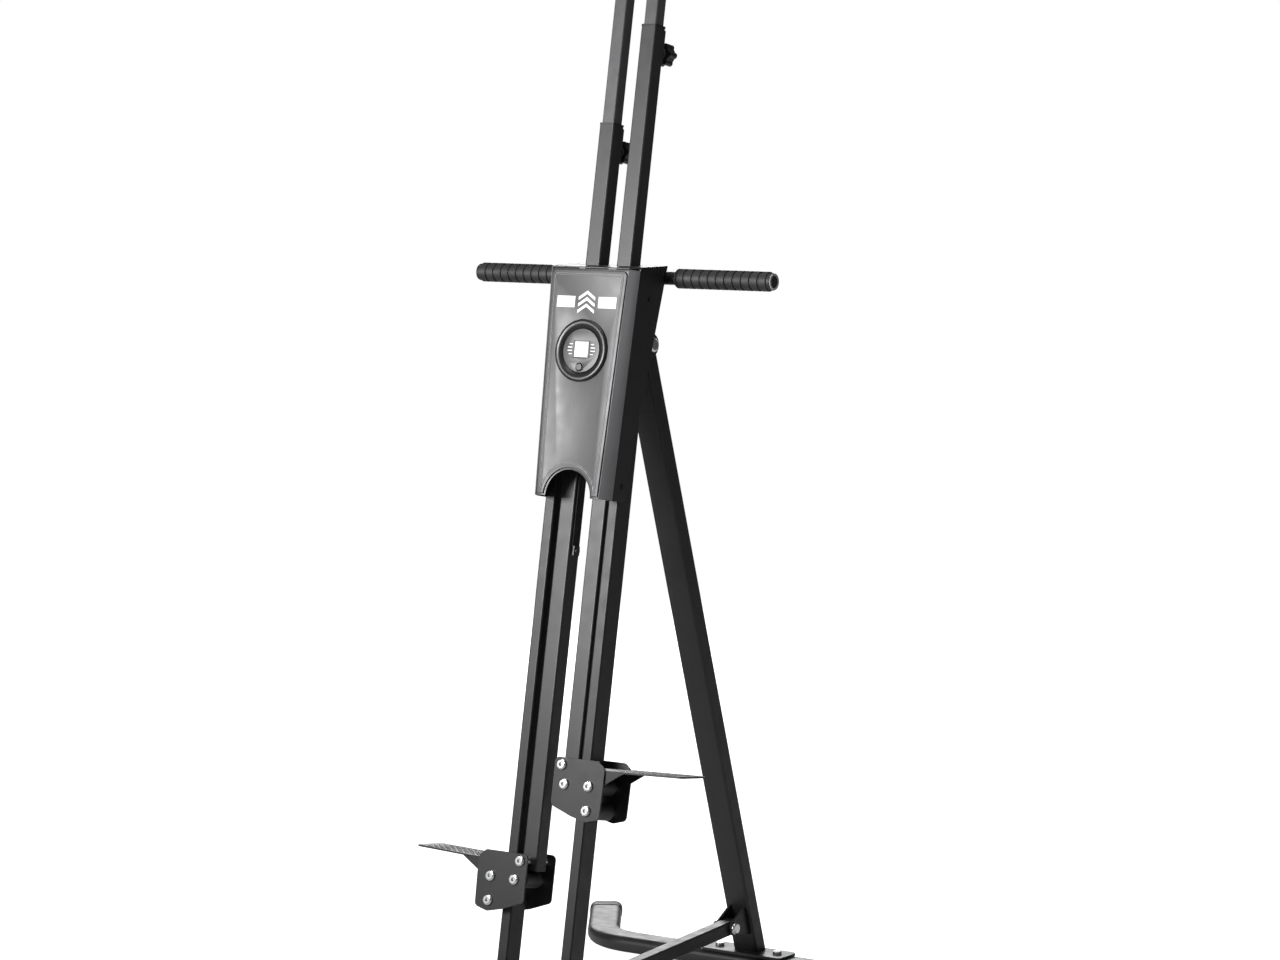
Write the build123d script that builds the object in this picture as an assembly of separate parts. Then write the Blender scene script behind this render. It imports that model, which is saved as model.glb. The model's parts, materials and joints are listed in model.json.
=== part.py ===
from build123d import *
from math import atan2, cos, degrees, radians, sin, tan
import os

# Vertical climber. Millimetres and degrees. +Z is up, +X is the machine's right,
# and the user stands on the -Y side, facing +Y. The origin is on the floor, midway
# between the two feet.
#
# Most pieces are drawn in the mast's own frame: x to the right, y square to the mast
# and towards the rear, and z ("up the mast") along the rails from floor level.

# ---------------------------------------------------------------- driving dimensions
# stance
base_spread = 654.0          # between the centre lines of the front and rear foot
mast_lean = 10.4             # rails, from the vertical, top to the rear
cap_lip = 1.0                # end caps stand proud of the foot tube by this

# feet: flat oval tube, both ends swept away from the middle of the machine
foot_width = 60.0
foot_height = 30.0
foot_wall = 2.0
foot_corner = 13.0
foot_straight = 262.0        # half of the straight middle
foot_bend_radius = 118.0
foot_bend_angle = 56.0
foot_end_length = 160.0      # straight end, up to the cap
foot_cap_length = 36.0
foot_plug_length = 25.0      # cap's spigot inside the tube
cap_rounding = 6.0
front_bolt_reach = 98.0      # foot bolts from the machine's middle plane
rear_bolt_reach = 62.0
foot_bolt_radius = 4.0
plate_thick = 5.0
plate_margin = 24.0          # foot plate beyond its bolts
plate_corner = 10.0
tongue_half = 24.0           # base plate's tongue to the catch pin
tongue_lap = 10.0            # tongue inside the base plate's rear edge
tongue_margin = 2.0          # tongue beyond the catch pin's ears

# mast
rail_inner_x = 55.5
rail_width = 20.0
rail_depth = 40.0
rail_wall = 1.5
rail_corner = 3.0
rail_top = 1285.0
tube_inner_x = 17.5          # inner side of each sliding tube
tube_size = 30.0
tube_wall = 1.5
tube_corner = 3.0
tube_mid_top = rail_top + 352.5   # top of a sliding tube with both arms level
carriage_mid = 385.0         # tube bolt of a carriage with both arms level
arm_offset = 84.5            # left arm this far below level, right arm above
tube_tail = 16.0             # sliding tube runs on below its bolt
anchor_above = 527.0         # belt lug above the carriage's tube bolt
anchor_half = 8.0            # half the height and depth of the belt lug
lug_reach = 2.5              # lug beside the belt, towards the middle
rivet_radius = 5.5

# carriage
plate_gap = 76.0             # between the two carriage plates
carriage_plate = 3.0
carriage_corner = 9.0
plate_outer_x = 120.0
plate_top_cut = 15.0         # sloped upper outer corner
plate_side_draw = 2.0        # outer edge leans in by this
plate_low_rise = 7.0         # lower corners above the lowest edge
plate_low_cut = 28.0
plate_heel_x = 60.0
plate_heel_rise = 22.0
inner_roller_x = 41.0
outer_roller_drops = (31.0, 72.0)
outer_roller_radius = 14.7
roller_gap = 0.3             # between a roller and the rail that it runs on
roller_width = rail_depth + 3.4
inner_roller_radius = rail_inner_x - inner_roller_x - roller_gap
inner_roller_drop = tube_tail + inner_roller_radius + 1.8   # clear of the tube's end
plate_top_edge = 12.0        # carriage plate above its tube bolt
plate_low_edge = 91.0        # and below it
carriage_bolt_radius = 4.0
spacer_radius = 7.0
roller_chamfer = 1.0
roller_play = 0.3            # between a roller's face and its spacer

# footplate
footplate_reach = 265.0
footplate_thick = 3.0
footplate_drop = 1.0
footplate_tilt = 3.0         # rear edge up, from square to the mast
footplate_rise = 1.5         # outer end up
gusset_depth = 30.0          # under the footplate, at the carriage
gusset_reach = 155.0
gusset_lap = 12.0            # gusset starts inside the carriage plate's edge by this
footplate_gap = 3.5          # from the rail's outer face
footplate_neck = 8.0         # straight part beyond the carriage plates
footplate_taper = 12.0       # front edge set back at the outer end
footplate_flare = 8.0        # rear edge further back at the outer end
footplate_corner = 8.0
carriage_clear = 1.0         # footplate beyond the carriage plates' edge

# upper telescopic tube, handle and clamp knob
bush_wall = 0.85
bush_gap = 0.15              # each side, the upper tube in its bush
bush_length = 60.0
bush_lip = 3.0
lip_proud = 0.5              # collar beyond the tube's faces
upper_size = tube_size - 2 * (tube_wall + bush_wall + bush_gap)
upper_wall = 1.5
upper_corner = 2.5
upper_overlap = 260.0        # length that stays inside the sliding tube
upper_rise = 318.0           # square tube above the sliding tube
handle_stub = 75.0           # from the square tube to the corner of the bend
handle_bend_radius = 55.0
handle_bend = 80.0
handle_length = 182.0        # from the corner of the bend to the end
handle_wall = 1.5
handle_lap = 6.0             # bent tube inside the square one
handle_collar = 3.0
grip_length = 125.0
grip_end = 6.0               # foam beyond the tube's end
grip_radius = 17.0
knob_drop = 40.0             # knob axis below the top of the sliding tube
knob_radius = 20.5
knob_length = 20.0
knob_neck = 3.0
lobe_radius = 5.5
lobe_root = 4.0              # lobes stand out of the knob's round core by this
neck_radius = 9.0
neck_gap = 0.4               # between the neck and the socket
stud_radius = 4.0
stud_lap = 5.0               # stud inside the knob
stud_gap = 0.3               # between the stud's end and the upper tube
socket_length = 11.0
socket_radius = 10.5
pad_thick = 4.0              # welded pad under the socket
pad_inset = 2.0              # from the tube's edges
pad_low, pad_high = 62.0, 3.0    # below the top of the sliding tube
stud_clear = 1.0             # radial, the stud in the bush

# head of the mast
head_thick = 4.0
head_low = rail_top - 135.0
head_high = rail_top + 13.0
bar_height = rail_top + 15.0
bar_radius = 11.0
bar_wall = 2.0
bar_half = 300.0
bar_cap = 6.0                # plug head beyond the bar's end
plug_inset = 2.0             # plug head inside the grip's radius
plug_rounding = 4.0
plug_length = 20.0
clamp_inner_x, clamp_outer_x = 44.0, 64.0
clamp_wall = 4.0
clamp_foot = 18.0            # saddle below the bar's axis
clamp_tab = 40.0             # screwed tab below the bar's axis
clamp_rounding = 9.0
clamp_screw_radius = 6.0
clamp_screw_rounding = 2.0
bar_grip_radius = 16.6
bar_grip_start = 112.0
bar_grip_chamfer = 3.0
pulley_height = rail_top - 50.0
pulley_radius = 14.9
pulley_plate_drop = 30.0     # front plate below the pulley's axis
flange_thick = 2.2
flange_gap = 0.5             # between a flange and the sliding tubes
belt_gap = 0.1               # between the belt and the pulley
belt_thick = 2.0
belt_width = 20.0
axle_radius = 5.0
guide_low = rail_top - 27.0
guide_high = rail_top + 3.0
guide_middle_gap = 1.0       # each side of the middle plane
guide_rail_gap = 0.2

# console shroud
shroud_top = rail_top + 18.0     # front edge of the lid, which is level when the mast leans
shroud_bottom = rail_top - 371.0
shroud_wall = 2.5
shroud_front = -64.0
face_half_top, face_half_bottom = 80.0, 66.0
side_half_top, side_half_bottom = 92.0, 79.0
bevel_y_top, bevel_y_bottom = -47.0, -41.0
back_y_top, back_y_bottom = 28.0, -8.0
face_draw, bevel_draw = 0.8, 0.6    # of the wall, taken up by the slope of the cavity
cavity_spare = 5.0           # cavity runs past the open lower end
lid_spare = 40.0             # and both lofts past the lid
cavity_back = 60.0           # and behind the open back
slot_gap = 1.0               # around a sliding tube in the lid
slot_start = 5.0             # above the guides
bar_notch_gap = 1.5
arch_radius = 46.0
screw_low, screw_low_y = 26.0, -17.0     # above the lower end
screw_high, screw_high_y = 30.0, -10.0   # below the guides' top
screw_radius = 4.5
screw_sink, screw_proud = 0.4, 1.6
boss_radius = 6.0
boss_least = 2.0             # no boss where the casing is nearer to the rail
computer_height = rail_top - 124.0
bezel_radius = 53.0
bezel_proud = 5.0
computer_radius = 37.0
bezel_rounding = 4.0
computer_depth = 26.0
computer_proud = 2.0
window_half_width, window_half_height = 14.5, 13.5
window_rise = 2.0            # window's middle above the computer's
button_drop = 28.0
window_half_thick = 1.0
button_radius = 6.5
button_gap = 0.3
button_bore = 8.0            # depth of the button's hole behind the face
button_proud, button_depth = 4.0, 5.0
button_rounding = 1.5

# rear leg and strut
leg_width = 50.0
leg_depth = 30.0
leg_wall = 2.0
leg_corner = 4.0
pivot_bush_radius = 10.0
leg_pivot_out = 98.0         # behind the mast's middle plane
leg_pivot_height = rail_top - 93.0    # along the mast
leg_foot_shift = 5.5         # leg's middle behind the rear foot's, at the plate
leg_above_pivot = 18.0
pivot_radius = 6.0
ear_thick = 4.0
bracket_half = 38.0          # half the height of the bracket's back plate
pivot_ear_radius = 20.0
strut_ear_radius = 13.0
strut_ear_low, strut_ear_high = 34.0, 22.0   # root of the leg's ears about the strut pin
strut_size = 25.0
strut_wall = 1.5
strut_corner = 3.0
strut_tail = 14.0            # strut tube beyond its pin
strut_bush_radius = 9.0
strut_pin_height = 90.0      # above the floor, at the leg
strut_pin_out = 60.0         # in front of the leg's centre line
strut_pin_radius = 5.0
catch_height = 56.0          # above the floor, at the mast
catch_out = 26.0             # behind the mast's centre line
catch_radius = 6.0
catch_ear_radius = 12.0
hook_thick = 8.0
hook_radius = 15.0
hook_length = 34.0           # from the end of the strut's tube to the catch pin
hook_exit = 60.0             # way out of the hook, from straight back
hook_fit = 0.5               # hook's neck inside the strut tube
hook_lap = 20.0              # neck inside the tube
hook_plug = 40.0             # length of the plug that holds the neck
hook_past = 2.0              # neck beyond the pin's centre
hook_gap = 0.5               # radial, the catch pin in the hook
mouth_clear = 6.0            # mouth wider than the slot, and beyond the neck

# fasteners: (head radius, head height, nut radius) for the three pivot pins
catch_head = (9.0, 4.0, 9.0)
pivot_head = (12.0, 7.0, 11.0)
strut_head = (11.0, 6.0, 9.0)
pin_rounding = 0.6           # share of a pin's head that is rounded
pin_nut = 8.0
dome_radius, dome_height = 9.5, 5.0      # carriage bolts
dome_rounding = 3.0
key_radius, key_depth = 3.5, 3.0         # hexagon socket in the head
nut_radius, nut_height = 7.5, 6.0
foot_head_radius, foot_head_height = 8.0, 6.0
foot_nut_height = 5.0
axle_nut_radius = 9.0

# clearances
nut_gap = 0.5                # around a nut in a hole
through = 120.0              # length of a cut that passes clean through
below_floor = 60.0           # legs and rails are drawn past the floor and cut level
least_corner = 0.4           # inner corner of a thin tube
running = 0.05               # radial, a pin or shaft in its bore
slide_gap = 0.3              # each side, a tube in its guide
side_gap = 0.6               # beside a tube between two ears

# ---------------------------------------------------------------- worked-out places
foot_top = cap_lip + foot_height
plate_top = foot_top + plate_thick
front_y = -base_spread / 2
rear_y = base_spread / 2
lean = radians(mast_lean)
mast_origin = Vector(0, front_y - plate_top * tan(lean), 0)
mast = Plane(origin=mast_origin, x_dir=(1, 0, 0), z_dir=(0, sin(lean), cos(lean)))
tube_mid_x = tube_inner_x + tube_size / 2
rail_mid_x = rail_inner_x + rail_width / 2
rail_outer_x = rail_inner_x + rail_width
plate_inner = plate_gap / 2
plate_outer = plate_inner + carriage_plate

pivot = mast.from_local_coords(Vector(0, leg_pivot_out, leg_pivot_height))
leg_foot = Vector(0, rear_y + leg_foot_shift, plate_top)
leg_lean = atan2(leg_foot.Y - pivot.Y, pivot.Z - leg_foot.Z)
leg = Plane(origin=pivot, x_dir=(1, 0, 0), z_dir=(0, -sin(leg_lean), cos(leg_lean)))
strut_pin_y = leg_foot.Y - (strut_pin_height - plate_top) * tan(leg_lean) - strut_pin_out
strut_pin = Vector(0, strut_pin_y, strut_pin_height)
catch = Vector(0, mast_origin.Y + catch_height * tan(lean) + catch_out, catch_height)
strut_length = (catch - strut_pin).length
strut = Plane(origin=strut_pin, x_dir=(1, 0, 0), z_dir=catch - strut_pin)

nodes = {}


# ---------------------------------------------------------------- helpers
def block(x, y, z):
    """A box from three (low, high) pairs."""
    size = [abs(b - a) for a, b in (x, y, z)]
    middle = [(a + b) / 2 for a, b in (x, y, z)]
    return Pos(*middle) * Box(*size)


def rod_x(radius, x, y, z):
    """A cylinder along x from x[0] to x[1]."""
    return Pos((x[0] + x[1]) / 2, y, z) * Rot(0, 90, 0) * Cylinder(radius, abs(x[1] - x[0]))


def rod_y(radius, x, y, z):
    """A cylinder along y from y[0] to y[1]."""
    return Pos(x, (y[0] + y[1]) / 2, z) * Rot(90, 0, 0) * Cylinder(radius, abs(y[1] - y[0]))


def rod_z(radius, x, y, z):
    """A cylinder along z from z[0] to z[1]."""
    return Pos(x, y, (z[0] + z[1]) / 2) * Cylinder(radius, abs(z[1] - z[0]))


def square_tube(width, depth, wall, corner, low, high):
    """A hollow tube along z, centred on x = y = 0."""
    outer = RectangleRounded(width, depth, corner)
    inner = RectangleRounded(width - 2 * wall, depth - 2 * wall, max(corner - wall, least_corner))
    return Pos(0, 0, low) * extrude(outer - inner, high - low)


def outline_y(points, low, high, radius=0.0):
    """A plate cut to points given as (x, z), from y = low to y = high."""
    face = make_face(Polyline(*points, close=True))
    if radius:
        face = fillet(face.vertices(), radius)
    return Pos(0, high, 0) * Rot(90, 0, 0) * extrude(face, high - low, dir=(0, 0, 1))


def outline_x(points, low, high, radius=0.0):
    """A plate cut to points given as (y, z), from x = low to x = high."""
    face = make_face(Polyline(*points, close=True))
    if radius:
        face = fillet(face.vertices(), radius)
    return Pos(low, 0, 0) * (Plane.YZ * extrude(face, high - low, dir=(0, 0, 1)))


def outline_z(points, side):
    """The footplate's tread, cut to (x, y) points, its top face at z = 0."""
    face = make_face(Polyline(*[(side * px, py) for px, py in points], close=True))
    corners = face.vertices().sort_by(Axis.X)
    far = corners[:2] if side < 0 else corners[-2:]
    return Pos(0, 0, -footplate_thick) * extrude(fillet(far, footplate_corner), footplate_thick, dir=(0, 0, 1))


def group(*pieces):
    """Several separate solids that share one node."""
    return Compound([solid for piece in pieces for solid in piece.solids()])


def add(name, shape, place=None):
    """Puts a finished shape in its place and files it under its node's name."""
    nodes[name] = place * shape if place else shape


def bolt_y(radius, x, z, front, back):
    """A through bolt along y: domed head in front, hexagon nut behind."""
    shank = rod_y(radius, x, (front, back), z)
    cap = rod_y(dome_radius, x, (front - dome_height, front), z)
    cap = fillet(cap.faces().sort_by(Axis.Y)[0].edges(), dome_rounding)
    socket = Pos(x, front - dome_height, z) * Rot(90, 0, 0) * extrude(RegularPolygon(key_radius, 6), -key_depth)
    nut_body = Pos(x, back, z) * Rot(-90, 0, 0) * extrude(RegularPolygon(nut_radius, 6), nut_height)
    return shank + (cap - socket) + nut_body


def bolt_z(radius, x, y, low, high):
    """A bolt along z: domed head above, hexagon nut below."""
    cap = rod_z(foot_head_radius, x, y, (high, high + foot_head_height))
    cap = fillet(cap.faces().sort_by(Axis.Z)[-1].edges(), dome_rounding)
    nut_body = Pos(x, y, low - foot_nut_height) * extrude(RegularPolygon(foot_head_radius, 6), foot_nut_height)
    return rod_z(radius, x, y, (low, high)) + cap + nut_body


def pin_x(radius, half, y, z, head, head_length, nut):
    """A bolt along x between two ears: domed head on the right, nut on the left."""
    cap = rod_x(head, (half, half + head_length), y, z)
    cap = fillet(cap.faces().sort_by(Axis.X)[-1].edges(), head_length * pin_rounding)
    nut_body = Pos(-half, y, z) * Rot(0, -90, 0) * extrude(RegularPolygon(nut, 6), pin_nut)
    return rod_x(radius, (-half, half), y, z) + cap + nut_body


# ---------------------------------------------------------------- feet
def foot_path(y, sweep_to):
    """Centre line of a foot; sweep_to is -1 when the ends point at the user."""
    angle = radians(foot_bend_angle)
    corner_x = foot_straight + foot_bend_radius * tan(angle / 2)
    run = foot_end_length + foot_bend_radius * tan(angle / 2)
    end_x = corner_x + run * cos(angle)
    end_y = y + sweep_to * run * sin(angle)
    z = cap_lip + foot_height / 2
    points = [(-end_x, end_y, z), (-corner_x, y, z), (corner_x, y, z), (end_x, end_y, z)]
    return FilletPolyline(*points, radius=foot_bend_radius)


def foot_section(plane, grow):
    return plane * RectangleRounded(foot_height + 2 * grow, foot_width + 2 * grow, foot_corner + grow)


def make_foot(name, y, sweep_to, bolt_reach):
    path = foot_path(y, sweep_to)
    start = Plane(origin=path @ 0, x_dir=(0, 0, 1), z_dir=path % 0)
    tube = sweep(foot_section(start, 0), path=path) - sweep(foot_section(start, -foot_wall), path=path)
    for side in (-1, 1):
        tube -= rod_z(foot_bolt_radius, side * bolt_reach, y, (0, plate_top))
    add(name, tube)
    caps = []
    for end, direction in ((path @ 0, path % 0 * -1), (path @ 1, path % 1)):
        plane = Plane(origin=end, x_dir=(0, 0, 1), z_dir=direction)
        shell = extrude(foot_section(plane, cap_lip), foot_cap_length)
        far = shell.faces().sort_by_distance(end + direction * foot_cap_length)[0]
        shell = fillet(far.edges(), cap_rounding)
        plug = extrude(foot_section(plane, -foot_wall), -foot_plug_length)
        caps.append(shell + plug)
    add(name + "_caps", group(*caps))
    bolts = []
    for side in (-1, 1):
        bolts.append(bolt_z(foot_bolt_radius, side * bolt_reach, y, foot_top - foot_wall, plate_top))
    add(name + "_bolts", group(*bolts))


def foot_plate(y, bolt_reach):
    """Flat plate bolted on top of a foot."""
    half = bolt_reach + plate_margin
    plate = block((-half, half), (y - foot_width / 2, y + foot_width / 2), (foot_top, plate_top))
    plate = fillet(plate.edges().filter_by(Axis.Z), plate_corner)
    for side in (-1, 1):
        plate -= rod_z(foot_bolt_radius, side * bolt_reach, y, (foot_top, plate_top))
    return plate


make_foot("front_foot", front_y, -1, front_bolt_reach)
make_foot("rear_foot", rear_y, 1, rear_bolt_reach)

# the mast's base plate carries two ears for the strut's catch pin
base = foot_plate(front_y, front_bolt_reach)
tongue = block((-tongue_half, tongue_half),
               (front_y + foot_width / 2 - tongue_lap, catch.Y + catch_ear_radius + tongue_margin),
               (foot_top, plate_top))
base += tongue
ear_inner = strut_size / 2 + side_gap
for side in (-1, 1):
    ear = block((side * ear_inner, side * (ear_inner + ear_thick)),
                (catch.Y - catch_ear_radius, catch.Y + catch_ear_radius), (plate_top, catch_height))
    ear += rod_x(catch_ear_radius, (side * ear_inner, side * (ear_inner + ear_thick)),
                 catch.Y, catch_height)
    base += ear
base -= rod_x(catch_radius, (-through, through), catch.Y, catch_height)
add("mast_base", base)
pin_half = ear_inner + ear_thick
add("catch_pin", pin_x(catch_radius, pin_half, catch.Y, catch_height, *catch_head))

# ---------------------------------------------------------------- mast rails and head
floor_cut = Plane(origin=(0, 0, plate_top))
for side, name in ((-1, "rail_left"), (1, "rail_right")):
    rail = square_tube(rail_width, rail_depth, rail_wall, rail_corner, -below_floor, rail_top)
    rail = mast * Pos(side * rail_mid_x, 0, 0) * rail
    rail = split(rail, bisect_by=floor_cut, keep=Keep.TOP)
    add(name, rail)

head_back = rail_depth / 2 + head_thick
bar_y = head_back + bar_radius
head = block((-rail_outer_x, rail_outer_x), (rail_depth / 2, head_back), (head_low, head_high))
head -= rod_y(axle_radius, 0, (0, through), pulley_height)
add("head_plate", head, mast)

front_plate = block((-rail_outer_x, rail_outer_x), (-head_back, -rail_depth / 2),
                    (pulley_height - pulley_plate_drop, guide_high))
front_plate -= rod_y(axle_radius, 0, (-through, 0), pulley_height)
add("pulley_plate", front_plate, mast)

axle = rod_y(axle_radius, 0, (-head_back, head_back), pulley_height)
for side in (-1, 1):
    nut_place = Pos(0, side * head_back, pulley_height) * Rot(-90 * side, 0, 0)
    axle += nut_place * extrude(RegularPolygon(axle_nut_radius, 6), nut_height)
add("pulley_axle", axle, mast)

flange_low = belt_width / 2 + slide_gap
pulley = rod_y(pulley_radius, 0, (-flange_low, flange_low), pulley_height)
for side in (-1, 1):
    flange = (side * flange_low, side * (flange_low + flange_thick))
    pulley += rod_y(tube_inner_x - flange_gap, 0, flange, pulley_height)
pulley -= rod_y(axle_radius + running, 0, (-through, through), pulley_height)
add("belt_pulley", pulley, mast)

belt_inner = pulley_radius + belt_gap
belt_outer = belt_inner + belt_thick
belt_y = (-belt_width / 2, belt_width / 2)
wrap = rod_y(belt_outer, 0, belt_y, pulley_height) - rod_y(belt_inner, 0, belt_y, pulley_height)
wrap -= block((-through, through), (-through, through), (pulley_height - through, pulley_height))
add("belt_wrap", wrap, mast)

guides = []
for side in (-1, 1):
    guide = block((side * guide_middle_gap, side * (rail_inner_x - guide_rail_gap)),
                  (-rail_depth / 2, rail_depth / 2), (guide_low, guide_high))
    hole = tube_size / 2 + slide_gap
    guide -= block((side * tube_mid_x - hole, side * tube_mid_x + hole), (-hole, hole),
                   (guide_low, guide_high))
    guides.append(guide)
add("guide_blocks", group(*guides), mast)

# ---------------------------------------------------------------- handlebar
bar = rod_x(bar_radius, (-bar_half, bar_half), bar_y, bar_height)
bar -= rod_x(bar_radius - bar_wall, (-bar_half, bar_half), bar_y, bar_height)
add("handlebar", bar, mast)
plugs = []
for side, name in ((-1, "left"), (1, "right")):
    span = (side * bar_grip_start, side * bar_half)
    grip = rod_x(bar_grip_radius, span, bar_y, bar_height) - rod_x(bar_radius, span, bar_y, bar_height)
    inner_face = grip.faces().sort_by(Axis.X)[0 if side > 0 else -1]
    grip = chamfer(inner_face.outer_wire().edges(), bar_grip_chamfer)
    add("handlebar_grip_" + name, grip, mast)
    cap = rod_x(bar_grip_radius - plug_inset, (side * bar_half, side * (bar_half + bar_cap)), bar_y, bar_height)
    cap = fillet(cap.faces().sort_by(Axis.X)[-1 if side > 0 else 0].edges(), plug_rounding)
    inner = rod_x(bar_radius - bar_wall, (side * (bar_half - plug_length), side * bar_half), bar_y, bar_height)
    plugs.append(cap + inner)
add("handlebar_plugs", group(*plugs), mast)
clamps = []
for side in (-1, 1):
    x = (side * clamp_inner_x, side * clamp_outer_x)
    saddle = block(x, (head_back, bar_y + bar_radius + clamp_wall),
                   (bar_height - clamp_foot, bar_height + bar_radius + clamp_wall))
    saddle = fillet(saddle.edges().filter_by(Axis.X).sort_by(Axis.Y)[-2:], clamp_rounding)
    saddle -= rod_x(bar_radius, (-through, through), bar_y, bar_height)
    saddle -= block((-through, through), (head_back, bar_y), (bar_height - bar_radius, bar_height + bar_radius))
    tab_face = head_back + clamp_wall
    low = block(x, (head_back, tab_face), (bar_height - clamp_tab, bar_height - clamp_foot))
    screw = rod_y(clamp_screw_radius, side * (clamp_inner_x + clamp_outer_x) / 2,
                  (tab_face, tab_face + clamp_wall), bar_height - (clamp_foot + clamp_tab) / 2)
    screw = fillet(screw.faces().sort_by(Axis.Y)[-1].edges(), clamp_screw_rounding)
    clamps += [saddle + low, screw]
add("handlebar_clamps", group(*clamps), mast)

# ---------------------------------------------------------------- console shroud
def share_up(z):
    """0 at the shroud's lower end, 1 at its upper end."""
    return (z - shroud_bottom) / (shroud_top - shroud_bottom)


def between(bottom, top, z):
    return bottom + share_up(z) * (top - bottom)


def shroud_loft(inset, low, high, open_back):
    """Six-sided solid that widens and deepens towards the top."""
    sections = []
    for z in (low, high):
        face = between(face_half_bottom, face_half_top, z) - inset * face_draw
        half = between(side_half_bottom, side_half_top, z) - inset
        bevel = between(bevel_y_bottom, bevel_y_top, z) + inset * bevel_draw
        back = between(back_y_bottom, back_y_top, z) + open_back
        front = shroud_front + inset
        points = [(-face, front), (face, front), (half, bevel), (half, back), (-half, back), (-half, bevel)]
        sections.append(Pos(0, 0, z) * make_face(Polyline(*points, close=True)))
    return loft(sections, ruled=True)


def lid_plane(drop):
    """The lid's level plane, lowered by drop."""
    return Plane(origin=(0, shroud_front, shroud_top - drop), x_dir=(1, 0, 0),
                 z_dir=(0, -sin(lean), cos(lean)))


over = shroud_top + lid_spare
shroud = split(shroud_loft(0, shroud_bottom, over, 0), bisect_by=lid_plane(0), keep=Keep.BOTTOM)
shroud -= split(shroud_loft(shroud_wall, shroud_bottom - cavity_spare, over, cavity_back), bisect_by=lid_plane(shroud_wall),
                keep=Keep.BOTTOM)
for side in (-1, 1):
    slot = tube_size / 2 + slot_gap
    shroud -= block((side * tube_mid_x - slot, side * tube_mid_x + slot), (-slot, slot),
                    (guide_high + slot_start, over))
shroud -= rod_y(arch_radius, 0, (-through, through), shroud_bottom)
shroud -= rod_y(computer_radius, 0, (-through, 0), computer_height)
shroud -= rod_x(bar_radius + bar_notch_gap, (-through, through), bar_y, bar_height)

# the front cover ends along the rear edge of its bevels and under the lid
seam = Plane(origin=(0, bevel_y_bottom, shroud_bottom), x_dir=(1, 0, 0),
             z_dir=(0, shroud_top - shroud_bottom, bevel_y_bottom - bevel_y_top))
front_cover = split(split(shroud, bisect_by=seam, keep=Keep.BOTTOM),
                    bisect_by=lid_plane(shroud_wall), keep=Keep.BOTTOM)
rear_cover = shroud - front_cover
screws = []
for side in (-1, 1):
    for z, y in ((shroud_bottom + screw_low, screw_low_y), (guide_high - screw_high, screw_high_y)):
        outer = between(side_half_bottom, side_half_top, z)
        if outer - shroud_wall - rail_outer_x > boss_least:
            rear_cover += rod_x(boss_radius, (side * rail_outer_x, side * (outer - shroud_wall / 2)), y, z)
        screws.append(rod_x(screw_radius, (side * (outer - screw_sink), side * (outer + screw_proud)), y, z))
add("console_front_cover", front_cover, mast)
add("console_rear_cover", rear_cover, mast)
add("console_screws", group(*screws), mast)

bezel = rod_y(bezel_radius, 0, (shroud_front - bezel_proud, shroud_front), computer_height)
bezel = fillet(bezel.faces().sort_by(Axis.Y)[0].edges(), bezel_rounding)
bezel -= rod_y(computer_radius, 0, (-through, through), computer_height)
add("computer_bezel", bezel, mast)

case_front = shroud_front - computer_proud
case = rod_y(computer_radius, 0, (case_front, shroud_front + computer_depth), computer_height)
window_mid = computer_height + window_rise
window_z = (window_mid - window_half_height, window_mid + window_half_height)
window_back = shroud_front + window_half_thick
case -= block((-window_half_width, window_half_width), (case_front, window_back), window_z)
button_z = computer_height - button_drop
case -= rod_y(button_radius + button_gap, 0, (case_front, shroud_front + button_bore), button_z)
add("computer_case", case, mast)
window = block((-window_half_width, window_half_width), (shroud_front - window_half_thick, window_back), window_z)
add("display_window", window, mast)
button = rod_y(button_radius, 0, (shroud_front - button_proud, shroud_front + button_depth), button_z)
button = fillet(button.faces().sort_by(Axis.Y)[0].edges(), button_rounding)
add("mode_button", button, mast)

# ---------------------------------------------------------------- rear leg pivot
ear_gap = leg_width / 2 + side_gap
bracket = block((-ear_gap - ear_thick, ear_gap + ear_thick), (head_back, head_back + ear_thick),
                (leg_pivot_height - bracket_half, leg_pivot_height + bracket_half))
for side in (-1, 1):
    outline = [(head_back, leg_pivot_height - bracket_half),
               (leg_pivot_out, leg_pivot_height - pivot_ear_radius),
               (leg_pivot_out, leg_pivot_height + pivot_ear_radius),
               (head_back, leg_pivot_height + bracket_half)]
    low, high = sorted((side * ear_gap, side * (ear_gap + ear_thick)))
    ear = outline_x(outline, low, high)
    ear += rod_x(pivot_ear_radius, (low, high), leg_pivot_out, leg_pivot_height)
    bracket += ear
bracket -= rod_x(pivot_radius, (-through, through), leg_pivot_out, leg_pivot_height)
bracket -= rod_y(axle_nut_radius + nut_gap, 0, (0, through), pulley_height)
add("leg_bracket", bracket, mast)
add("leg_pivot_bolt", pin_x(pivot_radius, ear_gap + ear_thick, leg_pivot_out, leg_pivot_height,
                            *pivot_head), mast)

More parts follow.
